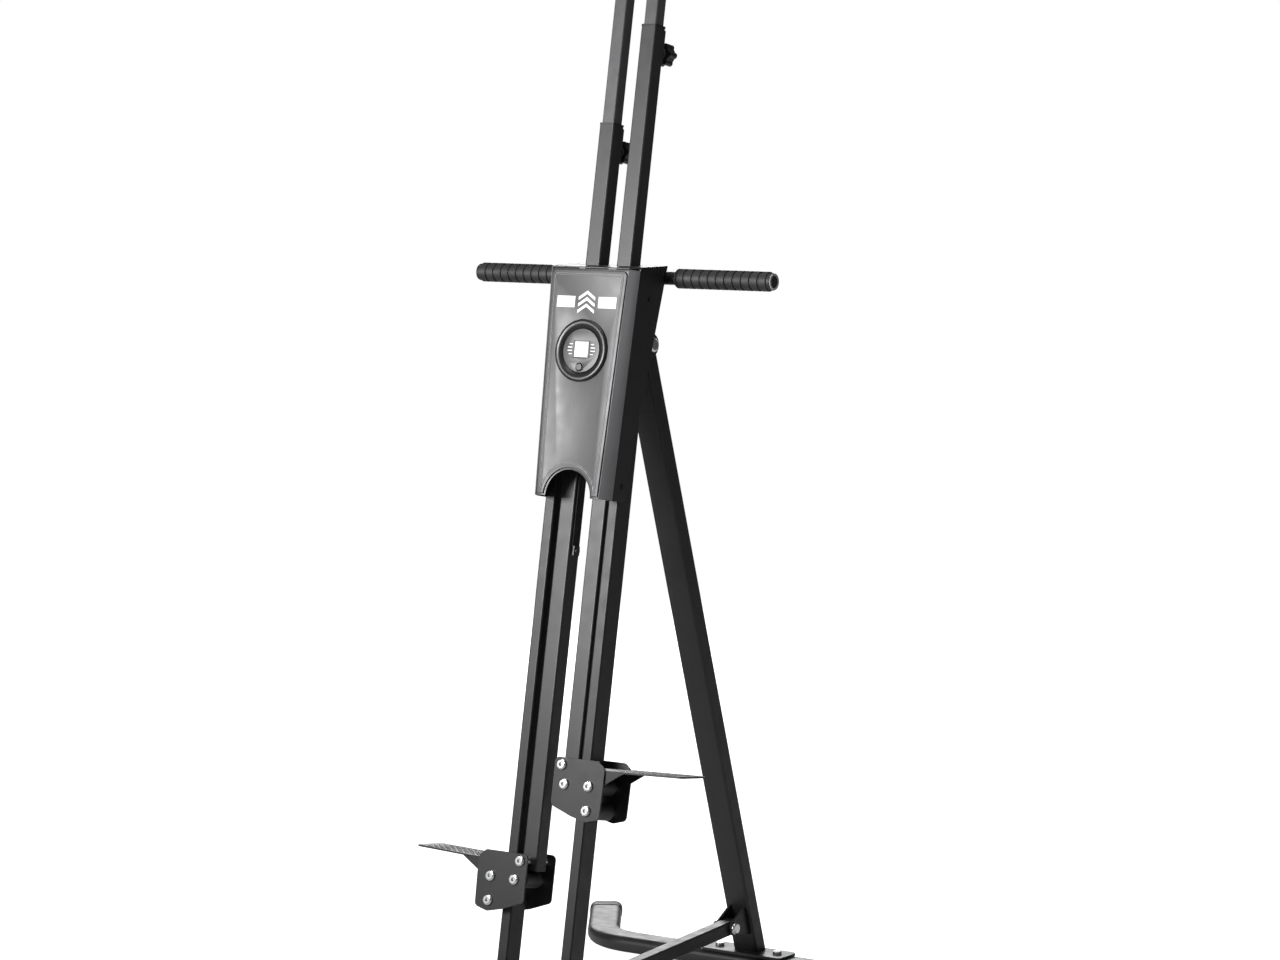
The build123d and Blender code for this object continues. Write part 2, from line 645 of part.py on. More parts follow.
leg_down = (pivot - leg_foot).length
leg_tube = square_tube(leg_width, leg_depth, leg_wall, leg_corner, -leg_down - below_floor,
                       leg_above_pivot)
leg_tube = split(leg * leg_tube, bisect_by=floor_cut, keep=Keep.TOP)
bush = rod_x(pivot_bush_radius, (-leg_width / 2, leg_width / 2), 0, 0)
leg_tube += leg * bush
leg_tube -= leg * rod_x(pivot_radius + running, (-through, through), 0, 0)
leg_tube += foot_plate(rear_y, rear_bolt_reach)
local_pin = leg.to_local_coords(strut_pin)
for side in (-1, 1):
    low, high = sorted((side * ear_inner, side * (ear_inner + ear_thick)))
    outline = [(-leg_depth / 2, local_pin.Z - strut_ear_low), (local_pin.Y, local_pin.Z - strut_ear_radius),
               (local_pin.Y, local_pin.Z + strut_ear_radius), (-leg_depth / 2, local_pin.Z + strut_ear_high)]
    ear = outline_x(outline, low, high) + rod_x(strut_ear_radius, (low, high), local_pin.Y, local_pin.Z)
    leg_tube += leg * ear
leg_tube -= rod_x(strut_pin_radius, (-through, through), strut_pin.Y, strut_pin.Z)
add("rear_leg", leg_tube)
add("strut_bolt", pin_x(strut_pin_radius, ear_inner + ear_thick, strut_pin.Y, strut_pin.Z,
                        *strut_head))

# ---------------------------------------------------------------- strut with open hook
# strut frame: z runs from the leg's pin to the catch pin, y is the strut's upper side
hook_start = strut_length - hook_length
tube = square_tube(strut_size, strut_size, strut_wall, strut_corner, -strut_tail, hook_start)
tube += rod_x(strut_bush_radius, (-strut_size / 2, strut_size / 2), 0, 0)
tube -= rod_x(strut_pin_radius + running, (-through, through), 0, 0)
plug_half = strut_size / 2 - strut_wall
hook_half = plug_half - hook_fit
hook = outline_x([(-hook_half, hook_start - hook_lap), (hook_half, hook_start - hook_lap),
                  (hook_half, strut_length + hook_past), (-hook_half, strut_length + hook_past)],
                 -hook_thick / 2, hook_thick / 2)
hook += rod_x(hook_radius, (-hook_thick / 2, hook_thick / 2), 0, strut_length)
hook += block((-plug_half, plug_half), (-hook_half, hook_half), (hook_start - hook_plug, hook_start))
slot_radius = catch_radius + hook_gap
reach = hook_length + mouth_clear
mouth = slot_radius + mouth_clear
exit_angle = radians(hook_exit)
toward = Vector(0, -sin(exit_angle), -cos(exit_angle))
across = Vector(0, -cos(exit_angle), sin(exit_angle))
centre = Vector(0, 0, strut_length)
corners = [centre - across * slot_radius, centre + across * slot_radius,
           centre + toward * reach + across * mouth, centre + toward * reach - across * mouth]
hook -= outline_x([(p.Y, p.Z) for p in corners], -hook_thick, hook_thick)
hook -= rod_x(slot_radius, (-hook_thick, hook_thick), 0, strut_length)
add("strut_tube", tube + hook, strut)


# ---------------------------------------------------------------- one arm
def arm(side, name, shift):
    """Sliding tube, carriage, footplate, knob and telescopic handle of one side."""
    x = side * tube_mid_x
    bolt_z0 = carriage_mid + shift
    top = tube_mid_top + shift
    knob_z = top - knob_drop

    tube = square_tube(tube_size, tube_size, tube_wall, tube_corner, bolt_z0 - tube_tail, top)
    tube = Pos(x, 0, 0) * tube
    half = tube_size / 2
    pad_half = half - pad_inset
    socket = block((x - pad_half, x + pad_half), (half, half + pad_thick), (top - pad_low, top - pad_high))
    socket += rod_y(socket_radius, x, (half + pad_thick, half + socket_length), knob_z)
    anchor_z = bolt_z0 + anchor_above
    lug_face = belt_inner - lug_reach
    lug = block((side * lug_face, side * tube_inner_x), (-anchor_half, anchor_half),
                (anchor_z - anchor_half, anchor_z + anchor_half))
    lug += rod_x(rivet_radius, (side * (lug_face - lug_reach), side * lug_face), 0, anchor_z)
    tube += socket + lug
    tube -= rod_y(carriage_bolt_radius, x, (-through, through), bolt_z0)
    tube -= rod_y(stud_radius + running, x, (0, through), knob_z)
    add("moving_tube_" + name, tube, mast)

    bush_hole = upper_size / 2 + bush_gap
    inside = half - tube_wall
    lip_half = half + lip_proud
    lining = RectangleRounded(2 * inside, 2 * inside, tube_corner - tube_wall)
    bush = Pos(x, 0, top - bush_length) * extrude(lining, bush_length)
    bush += fillet(block((x - lip_half, x + lip_half), (-lip_half, lip_half), (top, top + bush_lip)).edges()
                   .filter_by(Axis.Z), tube_corner)
    bush -= block((x - bush_hole, x + bush_hole), (-bush_hole, bush_hole),
                  (top - bush_length, top + bush_lip))
    bush -= rod_y(stud_radius + stud_clear, x, (0, through), knob_z)
    add("tube_bush_" + name, bush, mast)

    neck_start = half + socket_length + neck_gap
    knob_start = neck_start + knob_neck
    lobes = Circle(knob_radius - lobe_root)
    for angle in range(0, 360, 60):
        lobes += Rot(0, 0, angle) * Pos(knob_radius - lobe_radius, 0) * Circle(lobe_radius)
    body = Pos(x, knob_start, knob_z) * Rot(-90, 0, 0) * extrude(lobes, knob_length)
    stud = rod_y(stud_radius, x, (upper_size / 2 + stud_gap, knob_start + stud_lap), knob_z)
    neck = rod_y(neck_radius, x, (neck_start, knob_start), knob_z)
    add("clamp_knob_" + name, body + stud + neck, mast)

    square_top = top + upper_rise
    upper = square_tube(upper_size, upper_size, upper_wall, upper_corner, top - upper_overlap, square_top)
    upper = Pos(x, 0, 0) * upper
    bend = radians(handle_bend)
    corner_z = square_top + handle_stub
    end_x = x + side * handle_length * sin(bend)
    end_z = corner_z + handle_length * cos(bend)
    path = FilletPolyline((x, 0, square_top - handle_lap), (x, 0, corner_z), (end_x, 0, end_z),
                          radius=handle_bend_radius)
    start = Plane(origin=path @ 0, z_dir=path % 0)
    round_radius = upper_size / 2 - upper_wall
    collar = block((x - upper_size / 2, x + upper_size / 2), (-upper_size / 2, upper_size / 2),
                   (square_top - handle_collar, square_top))
    collar = fillet(collar.edges().filter_by(Axis.Z), upper_corner)
    handle = collar + sweep(start * Circle(round_radius), path=path)
    handle -= sweep(start * Circle(round_radius - handle_wall), path=path)
    add("upper_tube_" + name, upper + handle, mast)
    end = Vector(end_x, 0, end_z)
    direction = path % 1
    grip_plane = Plane(origin=end - direction * grip_length, z_dir=direction)
    foam_length = grip_length + grip_end
    foam = grip_plane * Pos(0, 0, foam_length / 2) * Cylinder(grip_radius, foam_length)
    bore = grip_plane * Pos(0, 0, grip_length / 2) * Cylinder(round_radius, grip_length)
    add("top_grip_" + name, foam - bore, mast)

    # carriage plates: a seven-sided plate in front of and behind the rail
    shape = [(tube_inner_x, plate_top_edge), (plate_outer_x - plate_top_cut, plate_top_edge),
             (plate_outer_x, 0), (plate_outer_x - plate_side_draw, plate_low_rise - plate_low_edge),
             (plate_outer_x - plate_low_cut, -plate_low_edge), (plate_heel_x, plate_low_rise - plate_low_edge),
             (tube_inner_x, plate_heel_rise - plate_low_edge)]
    outline = [(side * px, bolt_z0 + pz) for px, pz in shape]
    outer_x = rail_outer_x + outer_roller_radius + roller_gap
    holes = [(tube_mid_x, 0.0), (inner_roller_x, -inner_roller_drop)]
    holes += [(outer_x, -drop) for drop in outer_roller_drops]
    faces = {"front": (-plate_outer, -plate_inner), "back": (plate_inner, plate_outer)}
    for face, (low, high) in faces.items():
        plate = outline_y(outline, low, high, carriage_corner)
        for hx, hz in holes:
            plate -= rod_y(carriage_bolt_radius, side * hx, (-through, through), bolt_z0 + hz)
        add("carriage_" + face + "_" + name, plate, mast)

    pieces = []
    for hx, hz in holes:
        z = bolt_z0 + hz
        pieces.append(bolt_y(carriage_bolt_radius, side * hx, z, -plate_outer, plate_outer))
        inner = half if hz == 0 else roller_width / 2 + roller_play
        for low, high in ((-plate_inner, -inner), (inner, plate_inner)):
            sleeve = rod_y(spacer_radius, side * hx, (low, high), z)
            sleeve -= rod_y(carriage_bolt_radius, side * hx, (low, high), z)
            pieces.append(sleeve)
    add("carriage_fasteners_" + name, group(*pieces), mast)

    rollers = {"inner_roller_": (inner_roller_x, -inner_roller_drop, inner_roller_radius)}
    for label, drop in zip(("upper_roller_", "lower_roller_"), outer_roller_drops):
        rollers[label] = (outer_x, -drop, outer_roller_radius)
    for label, (rx, rz, radius) in rollers.items():
        z = bolt_z0 + rz
        wheel = rod_y(radius, side * rx, (-roller_width / 2, roller_width / 2), z)
        wheel = chamfer(wheel.edges().filter_by(GeomType.CIRCLE), roller_chamfer)
        wheel -= rod_y(carriage_bolt_radius + running, side * rx, (-through, through), z)
        add(label + name, wheel, mast)

    plate_start = rail_outer_x + footplate_gap
    neck_end = plate_outer_x + footplate_neck
    tread = outline_z([(plate_start, -plate_inner), (neck_end, -plate_inner),
                       (footplate_reach, footplate_taper - plate_inner),
                       (footplate_reach, plate_inner + footplate_flare),
                       (neck_end, plate_inner), (plate_start, plate_inner)], side)
    gusset_start = plate_outer_x - gusset_lap
    for y0, y1 in ((-plate_inner, footplate_thick - plate_inner), (plate_inner - footplate_thick, plate_inner)):
        tread += outline_y([(side * gusset_start, -footplate_thick), (side * gusset_reach, -footplate_thick),
                            (side * gusset_start, -gusset_depth)], y0, y1)
    tread = Pos(side * -plate_start, 0, 0) * tread
    tread = Rot(footplate_tilt, -side * footplate_rise, 0) * tread
    tread = Pos(side * plate_start, 0, bolt_z0 - footplate_drop) * tread
    # tilted, it would touch the carriage plates, so it is trimmed between them
    near = (bolt_z0 - through, bolt_z0 + through)
    reach_end = footplate_reach + through
    between_plates = block((-reach_end, reach_end), (-plate_inner, plate_inner), near)
    beyond_plates = block((side * (plate_outer_x + carriage_clear), side * reach_end), (-through, through), near)
    tread = (tread & between_plates) + (tread & beyond_plates)
    add("footplate_" + name, tread, mast)

    run = block((side * belt_inner, side * belt_outer), belt_y, (anchor_z + anchor_half, pulley_height))
    add("belt_run_" + name, run, mast)


arm(-1, "left", -arm_offset)
arm(1, "right", arm_offset)

os.makedirs("parts", exist_ok=True)
for name, shape in nodes.items():
    shape.label = name
    export_step(shape, os.path.join("parts", name + ".step"))
print(len(nodes), "nodes; leg lean", round(degrees(leg_lean), 2), "strut", round(strut_length, 1))
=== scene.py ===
# %% [markdown]
# # A vertical climber, finished in Blender
# The frame, tubes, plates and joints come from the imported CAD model, and nothing
# here moves or resizes them. This lesson gives each piece the finish that a maker
# would give it: powder coat on the steel, moulded grain on the console, ribs on the
# rubber grips, a raised tread on the footplates.

# %% Load the fixed frame
import json
from math import atan, cos, pi, radians, sin, tau

import bmesh
import bpy
from mathutils import Matrix, Vector


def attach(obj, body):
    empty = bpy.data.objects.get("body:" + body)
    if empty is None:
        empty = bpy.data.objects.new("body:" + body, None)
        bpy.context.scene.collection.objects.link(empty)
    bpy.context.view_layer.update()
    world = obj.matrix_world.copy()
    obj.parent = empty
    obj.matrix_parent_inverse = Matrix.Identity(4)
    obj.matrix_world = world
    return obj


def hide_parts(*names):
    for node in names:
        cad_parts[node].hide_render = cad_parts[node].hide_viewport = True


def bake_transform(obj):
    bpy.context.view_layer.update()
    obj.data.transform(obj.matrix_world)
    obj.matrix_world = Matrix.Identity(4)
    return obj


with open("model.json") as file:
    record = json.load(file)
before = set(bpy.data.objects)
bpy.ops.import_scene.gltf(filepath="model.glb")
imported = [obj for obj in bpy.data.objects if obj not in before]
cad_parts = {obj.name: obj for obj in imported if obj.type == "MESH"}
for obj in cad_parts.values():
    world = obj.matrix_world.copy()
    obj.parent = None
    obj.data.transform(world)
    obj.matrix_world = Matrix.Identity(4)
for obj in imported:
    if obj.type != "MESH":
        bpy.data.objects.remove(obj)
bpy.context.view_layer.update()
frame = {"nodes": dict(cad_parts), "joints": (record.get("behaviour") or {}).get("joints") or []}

nodes = frame["nodes"]
joints = {joint["name"]: joint for joint in frame["joints"]}
print("CAD pieces:", len(nodes), "joints:", len(joints))

# %% [markdown]
# The mast leans, so most pieces are easier to draw in the mast's own directions:
# x to the machine's right, y square to the mast and towards the rear, and z up
# along the rails. The sliding arm's joint gives the direction up the mast and the
# pulley's joint gives the rearward one, so the lean is read and never typed in.

# %% The mast's own directions
up_mast = Vector(joints["left_arm_slide"]["axis"]).normalized()
rearward = Vector(joints["pulley_spin"]["axis"]).normalized()
pulley_at = Vector(joints["pulley_spin"]["pos_m"])
mast = Matrix.Translation(pulley_at) @ Matrix((Vector((1, 0, 0)), rearward, up_mast)).transposed().to_4x4()
MM = 0.001
SIDES = {"left": -1, "right": 1}


def mast_box(node):
    """Lowest and highest corner of a CAD node, measured along the mast."""
    to_mast = mast.inverted()
    points = [to_mast @ v.co for v in nodes[node].data.vertices]
    low = Vector([min(p[i] for p in points) for i in range(3)])
    high = Vector([max(p[i] for p in points) for i in range(3)])
    return low, high


print("mast leans", round(up_mast.angle(Vector((0, 0, 1))) / pi * 180, 2), "degrees")

# %% [markdown]
# The camera stands a little to the machine's right and above its console, far back
# with a long lens, so that upright tubes stay nearly parallel in the picture.

# %% Camera
CAMERA_TURN = radians(35.0)
CAMERA_DIP = radians(5.81)
CAMERA_PLACE = Vector((3.7763, -5.4093, 1.591))
camera_data = bpy.data.cameras.new("studio_camera")
camera_data.sensor_width = 36.0
camera_data.lens = 108.28
camera = bpy.data.objects.new("studio_camera", camera_data)
bpy.context.scene.collection.objects.link(camera)
camera.location = CAMERA_PLACE
camera.rotation_euler = (pi / 2 - CAMERA_DIP, 0, CAMERA_TURN)
bpy.context.scene.camera = camera
print("camera at", tuple(camera.location))

# %% [markdown]
# Black steel only shows its shape by what it reflects. A soft key light in front and
# to the left sits level with the console and has a narrow beam, so the head of the
# machine is brightest and the legs fade towards black. A wide light overhead picks
# out the tops of the feet, and a low one behind the machine glances off the treads
# towards the camera. The right-hand sides get almost nothing.

# %% Studio: soft lights
def soft_light(name, place, target, width, height, power, beam=180.0):
    """A rectangular area light that points at its target."""
    data = bpy.data.lights.new(name, "AREA")
    data.shape = "RECTANGLE"
    data.size, data.size_y = width, height
    data.energy = power
    data.spread = radians(beam)
    lamp = bpy.data.objects.new(name, data)
    bpy.context.scene.collection.objects.link(lamp)
    lamp.visible_camera = False
    lamp.location = place
    lamp.rotation_euler = (Vector(target) - Vector(place)).to_track_quat("-Z", "Y").to_euler()
    return lamp


soft_light("console_key", (-1.1, -3.2, 1.70), (0, -0.1, 1.30), 1.4, 0.8, 21, 62)
soft_light("lower_front", (-2.2, -3.6, 0.9), (0, 0, 0.4), 1.4, 1.0, 1.6, 120)
soft_light("overhead", (0.2, -0.4, 4.4), (0, 0, 0.4), 2.6, 2.6, 60)
soft_light("back_glance", (-2.9, 4.0, 1.9), (0, 0, 0.5), 3.4, 1.6, 95)
soft_light("right_edge", (4.2, -1.2, 2.2), (0, 0, 0.9), 0.8, 2.0, 8)

# %% [markdown]
# The floor is nearly white. A world that is white to the camera but dim to the object
# keeps the background clean without washing out the blacks, and the floor glows a
# little for the camera alone, so that it meets the world with no visible horizon.

# %% Studio: world and floor
world = bpy.data.worlds.new("pale_studio")
bpy.context.scene.world = world
world.use_nodes = True
tree = world.node_tree
tree.nodes.clear()
seen = tree.nodes.new("ShaderNodeBackground")
seen.inputs["Color"].default_value = (1, 1, 1, 1)
seen.inputs["Strength"].default_value = 1.0
ambient = tree.nodes.new("ShaderNodeBackground")
ambient.inputs["Color"].default_value = (1, 1, 1, 1)
ambient.inputs["Strength"].default_value = 0.085
path = tree.nodes.new("ShaderNodeLightPath")
mix = tree.nodes.new("ShaderNodeMixShader")
out = tree.nodes.new("ShaderNodeOutputWorld")
tree.links.new(path.outputs["Is Camera Ray"], mix.inputs[0])
tree.links.new(ambient.outputs[0], mix.inputs[1])
tree.links.new(seen.outputs[0], mix.inputs[2])
tree.links.new(mix.outputs[0], out.inputs["Surface"])

FLOOR_HALF = 30.0
floor_mesh = bpy.data.meshes.new("studio_floor")
corners = ((-1, -1), (1, -1), (1, 1), (-1, 1))
floor_mesh.from_pydata([(x * FLOOR_HALF, y * FLOOR_HALF, 0) for x, y in corners], [], [(0, 1, 2, 3)])
floor = bpy.data.objects.new("studio_floor", floor_mesh)
bpy.context.scene.collection.objects.link(floor)
floor_paint = bpy.data.materials.new("pale_floor")
floor_paint.use_nodes = True
tree = floor_paint.node_tree
tree.nodes.clear()
paint = tree.nodes.new("ShaderNodeBsdfDiffuse")
paint.inputs["Color"].default_value = (0.84, 0.84, 0.84, 1)
glow = tree.nodes.new("ShaderNodeEmission")
glow.inputs["Strength"].default_value = 0.93
path = tree.nodes.new("ShaderNodeLightPath")
bright = tree.nodes.new("ShaderNodeAddShader")
mix = tree.nodes.new("ShaderNodeMixShader")
out = tree.nodes.new("ShaderNodeOutputMaterial")
tree.links.new(paint.outputs[0], bright.inputs[0])
tree.links.new(glow.outputs[0], bright.inputs[1])
tree.links.new(path.outputs["Is Camera Ray"], mix.inputs[0])
tree.links.new(paint.outputs[0], mix.inputs[1])
tree.links.new(bright.outputs[0], mix.inputs[2])
tree.links.new(mix.outputs[0], out.inputs["Surface"])
floor_mesh.materials.append(floor_paint)
bpy.context.scene.view_settings.view_transform = "Standard"


# %% [markdown]
# Every finish is a Principled shader whose roughness wanders a little and whose
# surface has a bump at the real scale of the finish: orange peel on powder coat,
# fine grain on moulded plastic. Sizes are given in millimetres between bumps.

# %% One recipe for painted and moulded surfaces
def noise(tree, coordinates, feature_mm, detail=2.0):
    """Noise whose features are about feature_mm apart on the object."""
    texture = tree.nodes.new("ShaderNodeTexNoise")
    texture.inputs["Scale"].default_value = 1000.0 / feature_mm
    texture.inputs["Detail"].default_value = detail
    tree.links.new(coordinates, texture.inputs["Vector"])
    return texture.outputs["Fac"]


def spread(tree, value, low, high):
    """Maps noise from its usual 0.3 to 0.7 onto low to high."""
    node = tree.nodes.new("ShaderNodeMapRange")
    node.inputs["From Min"].default_value = 0.3
    node.inputs["From Max"].default_value = 0.7
    node.inputs["To Min"].default_value = low
    node.inputs["To Max"].default_value = high
    tree.links.new(value, node.inputs["Value"])
    return node.outputs["Result"]


def finish(name, dark, light, rough, grain_mm, grain_height, metal=0.0, patch_mm=90.0, gloss=0.5):
    """A material: two close colours in soft patches, wandering roughness, fine bump."""
    material = bpy.data.materials.new(name)
    material.use_nodes = True
    tree = material.node_tree
    shader = tree.nodes["Principled BSDF"]
    where = tree.nodes.new("ShaderNodeTexCoord").outputs["Object"]
    patches = noise(tree, where, patch_mm, 4.0)
    ramp = tree.nodes.new("ShaderNodeValToRGB")
    ramp.color_ramp.elements[0].position = 0.35
    ramp.color_ramp.elements[1].position = 0.65
    ramp.color_ramp.elements[0].color = (*dark, 1)
    ramp.color_ramp.elements[1].color = (*light, 1)
    tree.links.new(patches, ramp.inputs["Fac"])
    tree.links.new(ramp.outputs["Color"], shader.inputs["Base Color"])
    tree.links.new(spread(tree, noise(tree, where, patch_mm / 4, 3.0), *rough), shader.inputs["Roughness"])
    bump = tree.nodes.new("ShaderNodeBump")
    bump.inputs["Strength"].default_value = 0.35
    bump.inputs["Distance"].default_value = grain_height * MM
    tree.links.new(noise(tree, where, grain_mm), bump.inputs["Height"])
    tree.links.new(bump.outputs["Normal"], shader.inputs["Normal"])
    shader.inputs["Metallic"].default_value = metal
    shader.inputs["Specular IOR Level"].default_value = gloss
    return material


def grey(value):
    return (value, value, value * 1.04)


# %% [markdown]
# With one recipe in place, a finish is a line: two greys, a range of roughness and
# the size of the grain. Paint on steel is smoother than moulded plastic, rubber and
# foam are rough, and plated bolts are the only metal that shows as metal.

# %% Finishes of this machine
powder_black = finish("black_powder_coat", grey(0.010), grey(0.014), (0.36, 0.46), 1.2, 0.12)
arm_black = finish("sliding_tube_black", grey(0.024), grey(0.030), (0.34, 0.44), 1.2, 0.10)
upper_grey = finish("telescopic_tube_grey", grey(0.075), grey(0.090), (0.30, 0.38), 1.5, 0.06)
plate_black = finish("plate_powder_coat", grey(0.017), grey(0.023), (0.38, 0.50), 1.0, 0.12)
# The feet take a lighter copy of the black powder coat: painted light for the light their tops and sides catch.
foot_painted_light_black = finish("foot_powder_coat_painted_light", grey(0.018), grey(0.024), (0.34, 0.46), 1.2, 0.10)
zinc = finish("zinc_plate", (0.55, 0.55, 0.56), (0.66, 0.66, 0.67), (0.24, 0.40), 2.0, 0.03, metal=1.0, patch_mm=14)
chrome = finish("bright_bolt_plate", (0.74, 0.74, 0.75), (0.82, 0.82, 0.83), (0.14, 0.26), 3.0, 0.02,
                metal=1.0, patch_mm=12)
cap_black = finish("foot_cap_plastic", grey(0.012), grey(0.017), (0.45, 0.58), 0.8, 0.10)
grip_rubber = finish("handlebar_rubber", grey(0.012), grey(0.018), (0.50, 0.64), 0.9, 0.08)
foam_black = finish("closed_cell_foam", grey(0.010), grey(0.018), (0.78, 0.90), 0.7, 0.25, patch_mm=25, gloss=0.3)
console_grey = finish("console_moulded_grey", grey(0.052), grey(0.060), (0.36, 0.44), 0.7, 0.05)
# Pale grey for the console's strips and beads: a painted highlight for the light they reflect, not the plastic's
# own colour.
painted_highlight_grey = finish("console_rim_painted_highlight", grey(0.150), grey(0.170), (0.28, 0.36), 0.7, 0.04)
computer_black = finish("computer_black", grey(0.010), grey(0.014), (0.30, 0.38), 0.7, 0.04)
dial_grey = finish("computer_face_grey", grey(0.030), grey(0.040), (0.34, 0.42), 0.7, 0.03)
nylon = finish("nylon_black", grey(0.016), grey(0.024), (0.42, 0.55), 1.0, 0.05)
knob_black = finish("knob_moulding", grey(0.010), grey(0.014), (0.32, 0.42), 0.8, 0.06)
casing_black = finish("casing_moulded_black", grey(0.012), grey(0.016), (0.34, 0.44), 0.7, 0.06)
# Paler grey for the footplate dashes: a painted highlight for the light falling on their tops.
tread_painted_highlight_grey = finish("tread_top_painted_highlight", grey(0.030), grey(0.045), (0.34, 0.46), 1.0, 0.06)
# Paler grey for the plugs' rims: a painted highlight on their rounded crowns.
plug_rim_painted_highlight = finish("plug_rim_painted_highlight", grey(0.30), grey(0.38), (0.34, 0.44), 0.8, 0.04)
print_white = finish("white_print", (0.80, 0.80, 0.80), (0.86, 0.86, 0.86), (0.45, 0.55), 0.6, 0.01)
print("materials:", len(bpy.data.materials))

# %% [markdown]
# The belt is woven: diagonal wave bands in its bump make the weave of nylon webbing.

# %% Webbing
webbing = finish("nylon_webbing", grey(0.010), grey(0.020), (0.75, 0.88), 0.9, 0.2, patch_mm=20)
tree = webbing.node_tree
where = tree.nodes.new("ShaderNodeTexCoord").outputs["Object"]
weave = tree.nodes.new("ShaderNodeTexWave")
weave.wave_type = "BANDS"
weave.bands_direction = "DIAGONAL"
weave.inputs["Scale"].default_value = 260.0
tree.links.new(where, weave.inputs["Vector"])
weave_bump = tree.nodes.new("ShaderNodeBump")
weave_bump.inputs["Distance"].default_value = 0.4 * MM
tree.links.new(weave.outputs["Fac"], weave_bump.inputs["Height"])
tree.links.new(weave_bump.outputs["Normal"], tree.nodes["Principled BSDF"].inputs["Normal"])


# %% [markdown]
# The display window is pale, and a faint painted glow is added so that the liquid crystal reads as white.

# %% Display
display_painted_glow = finish("display_painted_glow", (0.72, 0.76, 0.76), (0.80, 0.84, 0.84), (0.12, 0.20), 4.0, 0.01)
# Painted glow: emission that makes the window read as white.
display_painted_glow.node_tree.nodes["Principled BSDF"].inputs["Emission Color"].default_value = (0.9, 0.95, 0.95, 1)
display_painted_glow.node_tree.nodes["Principled BSDF"].inputs["Emission Strength"].default_value = 0.25

# %% [markdown]
# Most pieces are right as they are and only need paint, so each finish lists its
# pieces. Pieces that are made again further down are listed too, so that every CAD
# piece has a finish.

# %% Paint the CAD pieces whose shape is right
paints = {
    powder_black: ["rail_left", "rail_right", "rear_leg", "strut_tube", "head_plate", "pulley_plate", "leg_bracket",
                   "mast_base", "handlebar", "handlebar_clamps", "console_screws"],
    # The feet's lighter black is painted light on the same powder coat.
    foot_painted_light_black: ["front_foot", "rear_foot"],
    cap_black: ["front_foot_caps", "rear_foot_caps", "handlebar_plugs"],
    zinc: ["front_foot_bolts", "rear_foot_bolts", "pulley_axle", "catch_pin"],
    chrome: ["leg_pivot_bolt", "strut_bolt"],
    nylon: ["guide_blocks", "belt_pulley"],
    computer_black: ["computer_bezel", "mode_button"],
    dial_grey: ["computer_case"],
    display_painted_glow: ["display_window"],
    console_grey: ["console_front_cover"],
    casing_black: ["console_rear_cover"],
    webbing: ["belt_wrap", "belt_run_left", "belt_run_right"],
    grip_rubber: ["handlebar_grip_left", "handlebar_grip_right"],
}
for side in SIDES:
    paints[chrome].append("carriage_fasteners_" + side)
    paints.setdefault(arm_black, []).append("moving_tube_" + side)
    paints.setdefault(upper_grey, []).append("upper_tube_" + side)
    paints.setdefault(plate_black, []).extend(
        ["carriage_front_" + side, "carriage_back_" + side, "footplate_" + side])
    paints[nylon].extend([roller + side for roller in ("inner_roller_", "upper_roller_", "lower_roller_")])
    paints[nylon].append("tube_bush_" + side)
    paints.setdefault(knob_black, []).append("clamp_knob_" + side)
    paints.setdefault(foam_black, []).append("top_grip_" + side)
paint_of = {name: material for material, names in paints.items() for name in names}
for name, node in nodes.items():
    node.data.materials.clear()
    node.data.materials.append(paint_of[name])
print("painted", len(paint_of), "of", len(nodes))

# %% [markdown]
# The pieces below share a few small workshops. Each returns a plain mesh in metres:
# one softens the edges of a CAD shape, one cuts a flat sheet to an outline, and one
# turns a profile on a lathe. A last helper hangs the finished piece on its body.

# %% Workshop: soften, cut, turn, hang
def evaluated(obj):
    """The mesh that an object's modifiers make, as a plain mesh; the object goes."""
    bpy.context.view_layer.update()
    mesh = bpy.data.meshes.new_from_object(obj.evaluated_get(bpy.context.evaluated_depsgraph_get()))
    bpy.data.objects.remove(obj)
    return mesh


FLAT_AREA = 60e-6


def smooth(mesh, sharp=35.0):
    """Smooth shading, except on large flat faces and over edges sharper than the angle."""
    mesh.polygons.foreach_set("use_smooth", [face.area < FLAT_AREA for face in mesh.polygons])
    mesh.set_sharp_from_angle(angle=radians(sharp))
    return mesh


def softened(node, rounding, segments=3, angle=32.0):
    """A copy of a CAD shape with every hard edge rounded, in millimetres."""
    mesh = nodes[node].data.copy()
    work = bmesh.new()
    work.from_mesh(mesh)
    bmesh.ops.remove_doubles(work, verts=work.verts, dist=1e-5)
    bmesh.ops.dissolve_limit(work, angle_limit=radians(1.0), verts=work.verts, edges=work.edges)
    work.to_mesh(mesh)
    work.free()
    if mesh.has_custom_normals:
        mesh.attributes.remove(mesh.attributes["custom_normal"])
    obj = bpy.data.objects.new("soft_" + node, mesh)
    bpy.context.scene.collection.objects.link(obj)
    bevel = obj.modifiers.new("rounding", "BEVEL")
    bevel.width = rounding * MM
    bevel.segments = segments
    bevel.limit_method = "ANGLE"
    bevel.angle_limit = radians(angle)
    bevel.use_clamp_overlap = True
    weighted = obj.modifiers.new("even_faces", "WEIGHTED_NORMAL")
    weighted.weight = 100
    weighted.keep_sharp = True
    mesh.polygons.foreach_set("use_smooth", [True] * len(mesh.polygons))
    return evaluated(obj)


